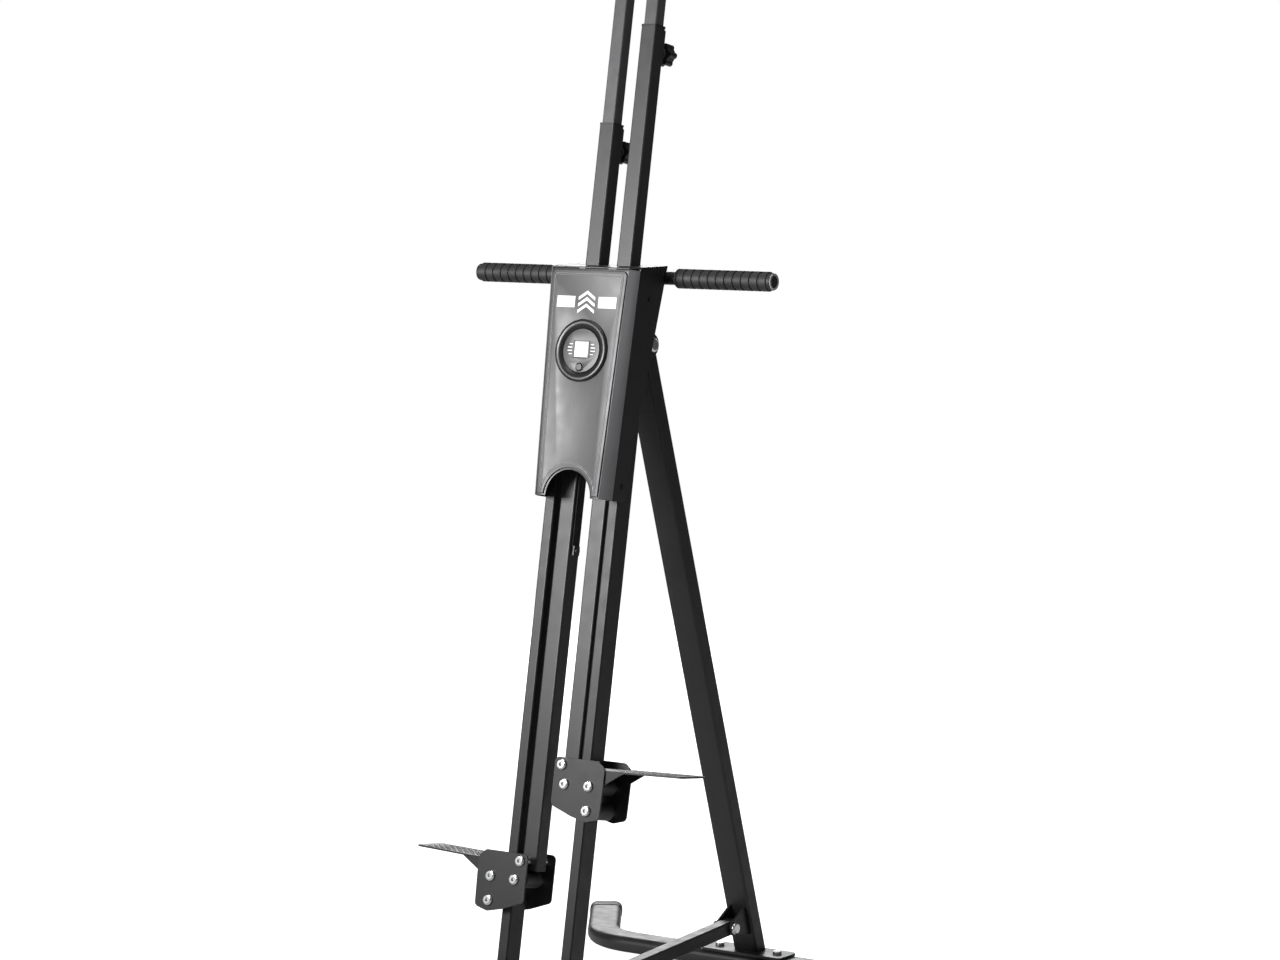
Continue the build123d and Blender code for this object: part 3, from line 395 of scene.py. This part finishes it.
def cut_sheet(loops, thick, rounding, place, steps=3):
    """A sheet cut to closed loops of (x, y) millimetres, edges rounded, laid at place."""
    curve = bpy.data.curves.new("outline", "CURVE")
    curve.dimensions = "2D"
    curve.fill_mode = "BOTH"
    curve.extrude = (thick / 2 - rounding) * MM
    curve.bevel_depth = rounding * MM
    curve.offset = -rounding * MM
    curve.bevel_resolution = steps
    for loop in loops:
        spline = curve.splines.new("POLY")
        spline.points.add(len(loop) - 1)
        spline.points.foreach_set("co", [c for x, y in loop for c in (x * MM, y * MM, 0, 1)])
        spline.use_cyclic_u = True
    obj = bpy.data.objects.new("outline", curve)
    bpy.context.scene.collection.objects.link(obj)
    mesh = evaluated(obj)
    work = bmesh.new()
    work.from_mesh(mesh)
    bmesh.ops.remove_doubles(work, verts=work.verts, dist=1e-6)
    bmesh.ops.dissolve_limit(work, angle_limit=radians(1.0), verts=work.verts, edges=work.edges)
    bmesh.ops.recalc_face_normals(work, faces=work.faces)
    work.to_mesh(mesh)
    work.free()
    mesh.transform(place)
    return smooth(mesh)


def turned(profile, place, steps=72):
    """A closed profile of (radius, height) millimetres turned about place's z axis."""
    work = bmesh.new()
    rings = []
    for k in range(steps):
        angle = tau * k / steps
        rings.append([work.verts.new((r * MM * cos(angle), r * MM * sin(angle), h * MM)) for r, h in profile])
    for k in range(steps):
        near, far = rings[k], rings[(k + 1) % steps]
        for i in range(len(profile)):
            j = (i + 1) % len(profile)
            work.faces.new((near[i], near[j], far[j], far[i]))
    bmesh.ops.remove_doubles(work, verts=work.verts, dist=1e-7)
    bmesh.ops.recalc_face_normals(work, faces=work.faces)
    mesh = bpy.data.meshes.new("turned")
    work.to_mesh(mesh)
    work.free()
    mesh.transform(place)
    return smooth(mesh)


def joined(meshes):
    """Several meshes as one."""
    work = bmesh.new()
    for mesh in meshes:
        work.from_mesh(mesh)
    whole = bpy.data.meshes.new("joined")
    work.to_mesh(whole)
    work.free()
    return smooth(whole)


def hang(name, mesh, material, body, hides=()):
    """Makes the finished piece, hangs it on its body and hides what it stands for."""
    mesh.materials.clear()
    mesh.materials.append(material)
    obj = bpy.data.objects.new(name, mesh)
    bpy.context.scene.collection.objects.link(obj)
    if body:
        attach(obj, body)
    if hides:
        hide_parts(*hides)
    return obj


def arc(centre, radius, start, end, steps):
    """Points on an arc, in degrees."""
    turns = [radians(start + (end - start) * k / steps) for k in range(steps + 1)]
    return [(centre[0] + radius * cos(a), centre[1] + radius * sin(a)) for a in turns]


# facing: x to the right, y up the mast, z out towards the user
facing = mast @ Matrix(((1, 0, 0, 0), (0, 0, -1, 0), (0, 1, 0, 0), (0, 0, 0, 1)))

# %% [markdown]
# Laser-cut plates and brackets have a small burr rolled over by the powder coat. The
# CAD shape is right, so a copy of it gets a fine bevel that catches the light.

# %% Rolled edges on plates and brackets
rolled = [("head_plate", powder_black, "frame", "frame_steel", 0.8),
          ("pulley_plate", powder_black, "frame", "frame_steel", 0.8),
          ("mast_base", powder_black, "frame", "frame_steel", 0.9),
          ("leg_bracket", powder_black, "frame", "frame_steel", 0.9),
          ("handlebar_clamps", powder_black, "frame", "frame_steel", 0.8),
          ("guide_blocks", nylon, "frame", "slider_plastic", 0.8)]
for side in SIDES:
    rolled += [("carriage_front_" + side, plate_black, "arm_" + side, "plate_steel", 0.9),
               ("carriage_back_" + side, plate_black, "arm_" + side, "plate_steel", 0.9),
               ("footplate_" + side, plate_black, "arm_" + side, "plate_steel", 0.9),
               ("tube_bush_" + side, knob_black, "arm_" + side, "slider_plastic", 0.6)]
for node, material, body, slot_name, rounding in rolled:
    hang(node + "_finished", softened(node, rounding), material, body, [node])
print("rolled edges on", len(rolled), "plates")

# %% [markdown]
# The console's front is a grey panel that stands in a dark channel between two bevelled strips, all over a black
# rear shell. The strips' paler grey is a painted highlight for the light their sloping faces reflect. The console's
# sizes are read from the CAD cover: the front plane, the half widths at both ends, the arch, and the strips' rear
# edges.

# %% Console sizes, read from the CAD cover
to_mast = mast.inverted()
cover = [(to_mast @ v.co) / MM for v in nodes["console_front_cover"].data.vertices]
front_y = min(p.y for p in cover)
front_points = [p for p in cover if p.y < front_y + 0.1]
panel_top = max(p.z for p in front_points)
panel_low = min(p.z for p in front_points)
half_top = max(abs(p.x) for p in front_points if p.z > panel_top - 1)
half_low = max(abs(p.x) for p in front_points if p.z < panel_low + 1)
arch = min(abs(p.x) for p in front_points if p.z < panel_low + 1)
outer_top = max((p for p in cover if p.z > panel_top - 25), key=lambda p: abs(p.x))
outer_low = max((p for p in cover if p.z < panel_low + 1), key=lambda p: abs(p.x))
bezel_low, bezel_high = (corner / MM for corner in mast_box("computer_bezel"))
dial_middle = (bezel_low + bezel_high) / 2
bezel_radius = (bezel_high.x - bezel_low.x) / 2
case_low, case_high = (corner / MM for corner in mast_box("computer_case"))
case_radius = (case_high.x - case_low.x) / 2
print("panel", round(half_low, 1), "to", round(half_top, 1), "mm half width; arch", round(arch, 1))


def half_width(z):
    """Half the front face's width at height z."""
    share = (z - panel_low) / (panel_top - panel_low)
    return half_low + share * (half_top - half_low)


CORNER_STEPS, ARCH_STEPS = 8, 32


def panel_outline(inset, corner):
    """The front face, inset, with rounded top corners and the arch at its lower end."""
    top, low = panel_top - inset, panel_low + inset
    slope = atan((half_top - half_low) / (panel_top - panel_low))
    lean_degrees = slope * 360 / tau
    edge = inset / cos(slope)
    turn = corner * (1 - sin(slope)) / cos(slope)
    x_top = half_width(top) - edge
    opening = arch + inset
    spring = (opening ** 2 - inset ** 2) ** 0.5
    lift = atan(inset / spring) * 360 / tau
    right = [(half_width(low) - edge, low)]
    corner_arc = arc((x_top - turn, top - corner), corner, -lean_degrees, 90, CORNER_STEPS)
    left = [(-x, y) for x, y in reversed(right + corner_arc)]
    return right + corner_arc + left + arc((0, panel_low), opening, 180 - lift, lift, ARCH_STEPS)


def ring(radius, middle, steps=72):
    return arc((middle.x, middle.z), radius, 0, 360 * (steps - 1) / steps, steps - 1)


# %% [markdown]
# The panel and the channel behind it are cut sheets. A strip widens towards the top,
# so it is lofted between its two end sections, and its edges are rounded after that.

# %% Console: panel, channel and strips
def at_depth(y):
    """The facing place moved to a depth given in millimetres along the mast's y."""
    return facing @ Matrix.Translation((0, 0, -y * MM))


PANEL_THICK = 3.0
PANEL_ROUNDING = 1.3
CHANNEL = 3.4            # dark gap between the panel and the strips
BEZEL_LAP = 6.0          # panel's hole inside the bezel's rim
panel = cut_sheet([panel_outline(CHANNEL, 9.0), ring(bezel_radius - BEZEL_LAP, dial_middle)],
                  PANEL_THICK, PANEL_ROUNDING, at_depth(front_y + PANEL_THICK / 2))
hang("console_panel", panel, console_grey, "frame", ["console_front_cover"])
backing = cut_sheet([panel_outline(0.2, 5.0), ring(case_radius + 0.5, dial_middle)], 1.6, 0.3,
                    at_depth(front_y + PANEL_THICK + 0.4))
hang("console_channel", backing, computer_black, "frame")


STRIP_INSET = 0.6
STRIP_THICK = 3.0
STRIP_ROUNDING = 1.0


def strip(side):
    """One bevelled strip: a bar with rounded edges from the face to the rear shell."""
    work = bmesh.new()
    ends = []
    for z, half, outer in ((panel_low, half_low, outer_low), (panel_top, half_top, outer_top)):
        inner = (side * (half - STRIP_INSET), front_y)
        rim = (side * abs(outer.x), outer.y)
        back = (side * (abs(outer.x) - STRIP_THICK), outer.y + 0.5)
        root = (side * (half - STRIP_INSET - 2.6), front_y + CHANNEL)
        ends.append([work.verts.new(mast @ (Vector((x, y, z)) * MM)) for x, y in (inner, rim, back, root)])
    low, top = ends
    for i in range(4):
        j = (i + 1) % 4
        work.faces.new((low[i], low[j], top[j], top[i]))
    work.faces.new(low)
    work.faces.new(top)
    bmesh.ops.recalc_face_normals(work, faces=work.faces)
    bmesh.ops.bevel(work, geom=work.edges[:], offset=STRIP_ROUNDING * MM, segments=3, affect="EDGES", profile=0.5)
    mesh = bpy.data.meshes.new("strip")
    work.to_mesh(mesh)
    work.free()
    return smooth(mesh)


# The strips' pale grey is a painted highlight on their sloping faces.
for label, side in SIDES.items():
    hang("console_strip_" + label, strip(side), painted_highlight_grey, "frame")
hang("console_rear_shell", softened("console_rear_cover", 2.2, 4), casing_black, "frame",
     ["console_rear_cover"])

# %% [markdown]
# Two fine beads run round the panel, a moulder's way to hide sink marks. A bead is
# the same everywhere along its path, so Geometry Nodes sweep a small round section
# along a curve that repeats the panel's outline, a little smaller.

# %% Beads round the panel, swept by Geometry Nodes
def bead_tree():
    """Geometry Nodes that sweep a round section along a path mesh."""
    tree = bpy.data.node_groups.new("bead_along_path", "GeometryNodeTree")
    tree.interface.new_socket("Path", in_out="INPUT", socket_type="NodeSocketGeometry")
    tree.interface.new_socket("Section Radius", in_out="INPUT", socket_type="NodeSocketFloat")
    tree.interface.new_socket("Material", in_out="INPUT", socket_type="NodeSocketMaterial")
    tree.interface.new_socket("Bead", in_out="OUTPUT", socket_type="NodeSocketGeometry")
    given = tree.nodes.new("NodeGroupInput")
    made = tree.nodes.new("NodeGroupOutput")
    path = tree.nodes.new("GeometryNodeMeshToCurve")
    section = tree.nodes.new("GeometryNodeCurvePrimitiveCircle")
    section.inputs["Resolution"].default_value = 10
    sweep = tree.nodes.new("GeometryNodeCurveToMesh")
    real = tree.nodes.new("GeometryNodeRealizeInstances")
    paint = tree.nodes.new("GeometryNodeSetMaterial")
    tree.links.new(given.outputs["Path"], path.inputs["Mesh"])
    tree.links.new(given.outputs["Section Radius"], section.inputs["Radius"])
    tree.links.new(path.outputs["Curve"], sweep.inputs["Curve"])
    tree.links.new(section.outputs["Curve"], sweep.inputs["Profile Curve"])
    tree.links.new(sweep.outputs["Mesh"], real.inputs["Geometry"])
    tree.links.new(real.outputs["Geometry"], paint.inputs["Geometry"])
    tree.links.new(given.outputs["Material"], paint.inputs["Material"])
    tree.links.new(paint.outputs["Geometry"], made.inputs["Bead"])
    return tree


def grown(mesh, tree, values):
    """Runs a Geometry Nodes tree on a mesh with the named inputs; a plain mesh comes back."""
    obj = bpy.data.objects.new("grown", mesh)
    bpy.context.scene.collection.objects.link(obj)
    modifier = obj.modifiers.new("nodes", "NODES")
    modifier.node_group = tree
    sockets = {item.name: item.identifier for item in tree.interface.items_tree if item.in_out == "INPUT"}
    for name, value in values.items():
        modifier[sockets[name]] = value
    return evaluated(obj)


def loop_mesh(points, y):
    """Points of (x, z) millimetres on the mast at depth y, joined into a closed loop."""
    mesh = bpy.data.meshes.new("path")
    places = [mast @ (Vector((x, y, z)) * MM) for x, z in points]
    mesh.from_pydata(places, [(i, (i + 1) % len(places)) for i in range(len(places))], [])
    return mesh


beads = bead_tree()
BEAD_RADIUS = 0.75
BEAD_SINK = 0.15         # bead's centre line below the panel's surface
# The beads take the same pale grey, a painted highlight along their crowns.
for number, (inset, corner) in enumerate(((9.5, 6.0), (12.5, 4.0))):
    path_mesh = loop_mesh(panel_outline(inset, corner), front_y + BEAD_SINK)
    bead = grown(path_mesh, beads, {"Section Radius": BEAD_RADIUS * MM, "Material": painted_highlight_grey})
    hang("console_bead_%d" % (number + 1), smooth(bead), painted_highlight_grey, "frame")
print("beads:", number + 1)

# %% [markdown]
# Plain printed marks: a band broken by three chevrons that point up, for climbing.
# Print has almost no thickness, so the marks are thin sheets on the panel.

# %% Printed marks
def chevron(middle_x, low, width, rise, thick):
    """An arrow head that points up the mast, as a closed loop."""
    half = width / 2
    return [(middle_x - half, low), (middle_x, low + rise), (middle_x + half, low),
            (middle_x + half, low + thick), (middle_x, low + rise + thick), (middle_x - half, low + thick)]


BAND_MIDDLE = dial_middle.z + 82.0
BAND_HALF_HEIGHT = 9.5
BAND_INNER, BAND_OUTER = 24.0, 61.0
CHEVRONS = 3
CHEVRON_WIDTH, CHEVRON_RISE, CHEVRON_THICK = 34.0, 11.0, 5.5
PRINT_THICK = 0.3
marks = []
for side in (-1, 1):
    inner, outer = side * BAND_INNER, side * BAND_OUTER
    low, high = BAND_MIDDLE - BAND_HALF_HEIGHT, BAND_MIDDLE + BAND_HALF_HEIGHT
    marks.append([(inner, low), (outer, low), (outer, high), (inner, high)])
for step in range(CHEVRONS):
    low = BAND_MIDDLE - 19.0 + CHEVRON_RISE * step
    marks.append(chevron(0, low, CHEVRON_WIDTH, CHEVRON_RISE, CHEVRON_THICK))
prints = joined([cut_sheet([loop], PRINT_THICK, 0.05, at_depth(front_y - 0.1), 1) for loop in marks])
hang("console_print", prints, print_white, "frame")
print("marks:", len(marks))

# %% [markdown]
# The training computer is round, so its bezel is turned on a lathe as a fat rounded ring, and its dial is a flat
# sheet cut round the window and the button. The window, its dark frame and the button sit in the dial.

# %% Training computer
dial_place = facing @ Matrix.Translation((dial_middle.x * MM, dial_middle.z * MM, -front_y * MM))
outer, inner, proud = bezel_radius, case_radius, front_y - bezel_low.y
bezel_profile = [(outer, 0.0), (outer, proud * 0.45), (outer - 1.2, proud * 0.8), (outer - 3.6, proud),
                 (outer - 7.0, proud), (outer - 10.5, proud * 0.72), (inner + 2.2, proud * 0.2),
                 (inner + 0.3, -0.6), (inner + 0.3, -2.0), (outer - 4, -2.0)]
hang("computer_bezel_ring", turned(bezel_profile, dial_place), computer_black, "frame",
     ["computer_bezel"])
window_low, window_high = (corner / MM for corner in mast_box("display_window"))
button_low, button_high = (corner / MM for corner in mast_box("mode_button"))
button_middle = (button_low + button_high) / 2
window = [(window_low.x, window_low.z), (window_high.x, window_low.z),
          (window_high.x, window_high.z), (window_low.x, window_high.z)]
dial = cut_sheet([ring(inner, dial_middle), window, ring(7.2, button_middle, 32)], 2.0, 0.3,
                 at_depth(front_y - 0.2))
hang("computer_dial", dial, dial_grey, "frame", ["computer_case"])


def grown_box(low, high, by):
    left, right, under, over = low.x - by, high.x + by, low.z - by, high.z + by
    return [(left, under), (right, under), (right, over), (left, over)]


frame_ring = cut_sheet([grown_box(window_low, window_high, 1.6), grown_box(window_low, window_high, -0.6)], 1.2,
                       0.35, at_depth(front_y - 1.3))
hang("display_frame", frame_ring, computer_black, "frame")
button_ring_profile = [(7.0, 0.9), (7.6, 1.7), (8.6, 1.7), (9.2, 0.9), (9.2, 0.2), (7.0, 0.2)]
button_place = facing @ Matrix.Translation((button_middle.x * MM, button_middle.z * MM, -front_y * MM))
hang("button_ring", turned(button_ring_profile, button_place, 48), dial_grey, "frame")
BAR_ROWS, BAR_FIRST, BAR_STEP, BAR_HEIGHT = 4, 4.5, 5.6, 1.7
BAR_START, BAR_LONG, BAR_SHORT = 19.0, 28.0, 25.0
bars = []
for side in (-1, 1):
    for row in range(BAR_ROWS):
        z = window_low.z + BAR_FIRST + BAR_STEP * row
        start, end = side * BAR_START, side * (BAR_SHORT if row in (0, BAR_ROWS - 1) else BAR_LONG)
        bars.append([(start, z), (end, z), (end, z + BAR_HEIGHT), (start, z + BAR_HEIGHT)])
hang("dial_print", joined([cut_sheet([loop], 0.24, 0.05, at_depth(front_y - 1.25), 1) for loop in bars]),
     print_white, "frame")
print("dial prints:", len(bars))

# %% [markdown]
# The handlebar grips are rubber sleeves with wide flat ribs between narrow grooves.
# The ribs repeat at one pitch, so one rib is turned and Geometry Nodes place copies
# of it along the bar, then make them real.

# %% Ribs along the handlebar grips
def row_tree():
    """Geometry Nodes that repeat a shape along a straight line."""
    tree = bpy.data.node_groups.new("row_of_copies", "GeometryNodeTree")
    tree.interface.new_socket("Shape", in_out="INPUT", socket_type="NodeSocketGeometry")
    tree.interface.new_socket("Count", in_out="INPUT", socket_type="NodeSocketInt")
    tree.interface.new_socket("Step", in_out="INPUT", socket_type="NodeSocketVector")
    tree.interface.new_socket("Material", in_out="INPUT", socket_type="NodeSocketMaterial")
    tree.interface.new_socket("Row", in_out="OUTPUT", socket_type="NodeSocketGeometry")
    given = tree.nodes.new("NodeGroupInput")
    made = tree.nodes.new("NodeGroupOutput")
    line = tree.nodes.new("GeometryNodeMeshLine")
    copies = tree.nodes.new("GeometryNodeInstanceOnPoints")
    real = tree.nodes.new("GeometryNodeRealizeInstances")
    paint = tree.nodes.new("GeometryNodeSetMaterial")
    tree.links.new(given.outputs["Count"], line.inputs["Count"])
    tree.links.new(given.outputs["Step"], line.inputs["Offset"])
    tree.links.new(line.outputs["Mesh"], copies.inputs["Points"])
    tree.links.new(given.outputs["Shape"], copies.inputs["Instance"])
    tree.links.new(copies.outputs["Instances"], real.inputs["Geometry"])
    tree.links.new(real.outputs["Geometry"], paint.inputs["Geometry"])
    tree.links.new(given.outputs["Material"], paint.inputs["Material"])
    tree.links.new(paint.outputs["Geometry"], made.inputs["Row"])
    return tree


rows = row_tree()
RIB_PITCH = 16.5
GROOVE = 2.6
GRIP_LEAD = 6.0          # least plain length at the inner end
for label, side in SIDES.items():
    low, high = (corner / MM for corner in mast_box("handlebar_grip_" + label))
    radius = (high.z - low.z) / 2
    middle = (low + high) / 2
    length = high.x - low.x
    start_x = low.x if side > 0 else high.x
    along_bar = mast @ Matrix.Translation((start_x * MM, middle.y * MM, middle.z * MM)) \
        @ Matrix(((0, 0, side, 0), (0, 1, 0, 0), (-side, 0, 0, 0), (0, 0, 0, 1)))
    ribs = int((length - GRIP_LEAD) / RIB_PITCH)
    first = length - ribs * RIB_PITCH
    rib_profile = [(radius - 2.4, first + 0.2), (radius - 0.6, first + 0.5), (radius, first + 1.2),
                   (radius, first + RIB_PITCH - GROOVE - 1.0), (radius - 0.6, first + RIB_PITCH - GROOVE - 0.3),
                   (radius - 2.4, first + RIB_PITCH - GROOVE)]
    rib = turned(rib_profile, along_bar, 56)
    row = grown(rib, rows, {"Count": ribs, "Step": Vector((side * RIB_PITCH * MM, 0, 0)), "Material": grip_rubber})
    core_profile = [(radius - 5.3, 0.0), (radius - 2.4, 0.0), (radius, 2.6), (radius, first - 1.6),
                    (radius - 1.8, first - 0.4), (radius - 1.8, length), (radius - 5.3, length)]
    grip = joined([row, turned(core_profile, along_bar, 56)])
    hang("ribbed_grip_" + label, grip, grip_rubber, "frame", ["handlebar_grip_" + label])
print("ribs per grip:", ribs)

# %% [markdown]
# The bar's open ends are closed by plastic plugs. Each has a raised rim painted paler than the rest as a highlight
# on its rounded crown, so the rim is a ring of its own.

# %% End plugs of the handlebar
plug_low, plug_high = (corner / MM for corner in mast_box("handlebar_plugs"))
plug_radius = (plug_high.z - plug_low.z) / 2
plug_middle = (plug_low + plug_high) / 2
for label, side in SIDES.items():
    grip_low, grip_high = (corner / MM for corner in mast_box("handlebar_grip_" + label))
    grip_end = grip_high.x if side > 0 else grip_low.x
    proud = abs((plug_high.x if side > 0 else plug_low.x) - grip_end)
    place = mast @ Matrix.Translation((grip_end * MM, plug_middle.y * MM, plug_middle.z * MM)) \
        @ Matrix.Rotation(side * pi / 2, 4, "Y")
    body = [(0.0, proud - 2.4), (plug_radius - 5.0, proud - 2.2), (plug_radius - 4.2, proud - 1.2),
            (plug_radius - 0.6, proud - 1.6), (plug_radius, proud - 2.6), (plug_radius, 0.0), (0.0, 0.0)]
    rim = [(plug_radius - 4.4, proud - 1.4), (plug_radius - 4.0, proud - 0.3), (plug_radius - 3.2, proud),
           (plug_radius - 1.8, proud), (plug_radius - 0.9, proud - 0.5), (plug_radius - 0.5, proud - 1.7),
           (plug_radius - 2.4, proud - 2.2)]
    hides = ["handlebar_plugs"] if side > 0 else []
    hang("end_plug_" + label, turned(body, place, 56), cap_black, "frame", hides)
    # The rim's paler grey is a painted highlight.
    hang("end_plug_rim_" + label, turned(rim, place, 56), plug_rim_painted_highlight, "frame")
print("plug radius", round(plug_radius, 1), "proud", round(proud, 1))

# %% [markdown]
# The top grips are foam tubes: a little fuller in the middle than at the ends, with
# rolled ends and two faint rings where the foam was cut and joined.

# %% Foam top grips
HANDLE_BEND = radians(80.0)
CROWN = 0.9              # how much fuller the middle is
RING_DEPTH = 0.5
CROWN_STEPS = 12
RINGS_AT = (2, 10)       # steps from the outer end that carry a ring
for label, side in SIDES.items():
    foam = nodes["top_grip_" + label].data.vertices
    points = [v.co for v in foam]
    middle = sum(points, Vector()) / len(points)
    grip_axis = (mast.to_3x3() @ Vector((side * sin(HANDLE_BEND), 0, cos(HANDLE_BEND)))).normalized()
    spans = [p.dot(grip_axis) for p in points]
    low, high = min(spans), max(spans)
    foam_middle = middle + grip_axis * ((low + high) / 2 - middle.dot(grip_axis))
    spread_out = [((p - foam_middle) - grip_axis * (p - foam_middle).dot(grip_axis)).length for p in points]
    radius, half = max(spread_out) / MM, (high - low) / 2 / MM
    place = Matrix.Translation(foam_middle) @ grip_axis.to_track_quat("Z", "Y").to_matrix().to_4x4()
    profile = [(0.0, half), (radius - 6, half), (radius - 3.2, half - 0.6), (radius - 1.4, half - 2.4)]
    for step in range(CROWN_STEPS + 1):
        height = (half - 6) * (1 - 2 * step / CROWN_STEPS)
        crown = CROWN * (1 - (height / half) ** 2) - (RING_DEPTH if step in RINGS_AT else 0.0)
        profile.append((radius - CROWN + crown, height))
    profile += [(radius - 1.4, 2.4 - half), (radius - 3.2, 0.6 - half), (radius - 6, -half), (0.0, -half)]
    grip = hang("foam_grip_" + label, turned(profile, place, 64), foam_black, "handle_" + label,
                ["top_grip_" + label])
print("foam grip radius", round(radius, 1), "length", round(2 * half, 1))

# %% [markdown]
# A clamp knob is a moulding with six lobes. Its edges are rounded all over, and a
# plated washer shows between the knob and the tube.

# %% Clamp knobs and their washers
for label, side in SIDES.items():
    hang("lobed_knob_" + label, softened("clamp_knob_" + label, 1.8, 4), knob_black, "knob_" + label,
         ["clamp_knob_" + label])
    low, high = (corner / MM for corner in mast_box("clamp_knob_" + label))
    socket_end = mast_box("moving_tube_" + label)[1].y / MM
    middle = (low + high) / 2
    place = mast @ Matrix.Translation((middle.x * MM, socket_end * MM, middle.z * MM)) \
        @ Matrix.Rotation(-pi / 2, 4, "X")
    washer = [(5.0, 0.1), (10.4, 0.1), (11.0, 0.5), (11.0, 1.4), (10.4, 1.8), (9.2, 1.8), (9.2, 2.6), (5.0, 2.6)]
    hang("knob_washer_" + label, turned(washer, place, 48), zinc, "knob_" + label)
print("knob washers:", len(SIDES))

# %% [markdown]
# Each footplate is pressed with staggered raised dashes for grip. They repeat over
# the plate's own top plane, which is read from the CAD footplate: the plane of its
# largest upward faces.

# %% Raised dashes on the footplates
def top_plane(node):
    """Centre and normal of a node's largest flat face that looks up."""
    mesh = nodes[node].data
    up_faces = [f for f in mesh.polygons if f.normal.z > 0.9]
    normal = sum((f.normal * f.area for f in up_faces), Vector()).normalized()
    height = max(f.center.dot(normal) for f in up_faces)
    flat = [f for f in up_faces if abs(f.center.dot(normal) - height) < 0.0005]
    area = sum(f.area for f in flat)
    centre = sum((f.center * f.area for f in flat), Vector()) / area
    spots = [mesh.vertices[i].co for f in flat for i in f.vertices]
    return centre, normal, spots


DASH_LENGTH, DASH_WIDTH, DASH_HEIGHT = 9.0, 2.6, 0.9
DASH_STEP_X, DASH_STEP_Y = 13.0, 7.0
TREAD_START = 52.0       # plain part of the plate, next to the carriage
TREAD_MARGIN = 9.0       # at the outer end
TREAD_BORDER = 26.0      # front and rear together
for label, side in SIDES.items():
    centre, normal, spots = top_plane("footplate_" + label)
    along = (Vector((1, 0, 0)) - normal * normal.x).normalized()
    back = normal.cross(along)
    place = Matrix((along, back, normal)).transposed().to_4x4()
    place.translation = centre
    local = [place.inverted() @ p / MM for p in spots]
    near = min(side * p.x for p in local) + TREAD_START
    far = max(side * p.x for p in local) - TREAD_MARGIN
    low_y, high_y = min(p.y for p in local), max(p.y for p in local)
    half_l, half_w = DASH_LENGTH / 2, DASH_WIDTH / 2
    dash_loop = arc((half_l - half_w, 0), half_w, -90, 90, 5) + arc((half_w - half_l, 0), half_w, 90, 270, 5)
    lines = []
    count = int((far - near) / DASH_STEP_X)
    rows_of_dashes = int((high_y - low_y - TREAD_BORDER) / DASH_STEP_Y) + 1
    for k in range(rows_of_dashes):
        y = (low_y + high_y) / 2 + (k - (rows_of_dashes - 1) / 2) * DASH_STEP_Y
        shift = DASH_STEP_X / 2 if k % 2 else 0.0
        start = place @ Matrix.Translation((side * (near + shift) * MM, y * MM, 0.25 * MM))
        dash = cut_sheet([dash_loop], DASH_HEIGHT, 0.3, start, 1)
        step = (along * side * DASH_STEP_X * MM)
        lines.append(grown(dash, rows, {"Count": count, "Step": step, "Material": tread_painted_highlight_grey}))
    # The dashes' paler grey is a painted highlight for the light on their tops.
    hang("tread_dashes_" + label, joined(lines), tread_painted_highlight_grey, "arm_" + label)
print("dashes per footplate:", count * rows_of_dashes)

# %% [markdown]
# The belt is nylon webbing. Each run leaves the pulley and ends at the lug of its arm, so it grows and shrinks as
# the arm climbs. Here each run is one fixed mesh of many short lengths, hung on no body.

# %% Belt runs
BELT_SECTIONS = 48
BELT_ROUNDING = 0.5
for label, side in SIDES.items():
    low, high = mast_box("belt_run_" + label)
    work = bmesh.new()
    rings = []
    rim = BELT_ROUNDING * MM
    outline = [(low.x, low.y + rim), (low.x + rim, low.y), (high.x - rim, low.y), (high.x, low.y + rim),
               (high.x, high.y - rim), (high.x - rim, high.y), (low.x + rim, high.y), (low.x, high.y - rim)]
    for k in range(BELT_SECTIONS + 1):
        z = low.z + (high.z - low.z) * k / BELT_SECTIONS
        rings.append([work.verts.new(mast @ Vector((x, y, z))) for x, y in outline])
    for near, far in zip(rings, rings[1:]):
        for i in range(len(outline)):
            j = (i + 1) % len(outline)
            work.faces.new((near[i], near[j], far[j], far[i]))
    work.faces.new(rings[0])
    work.faces.new(rings[-1])
    bmesh.ops.recalc_face_normals(work, faces=work.faces)
    strap_mesh = bpy.data.meshes.new("strap")
    work.to_mesh(strap_mesh)
    work.free()
    strap = hang("belt_strap_" + label, smooth(strap_mesh), webbing, None)
    middle = (low + high) / 2
    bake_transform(strap)
    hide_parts("belt_run_" + label)
print("belt sections:", BELT_SECTIONS)
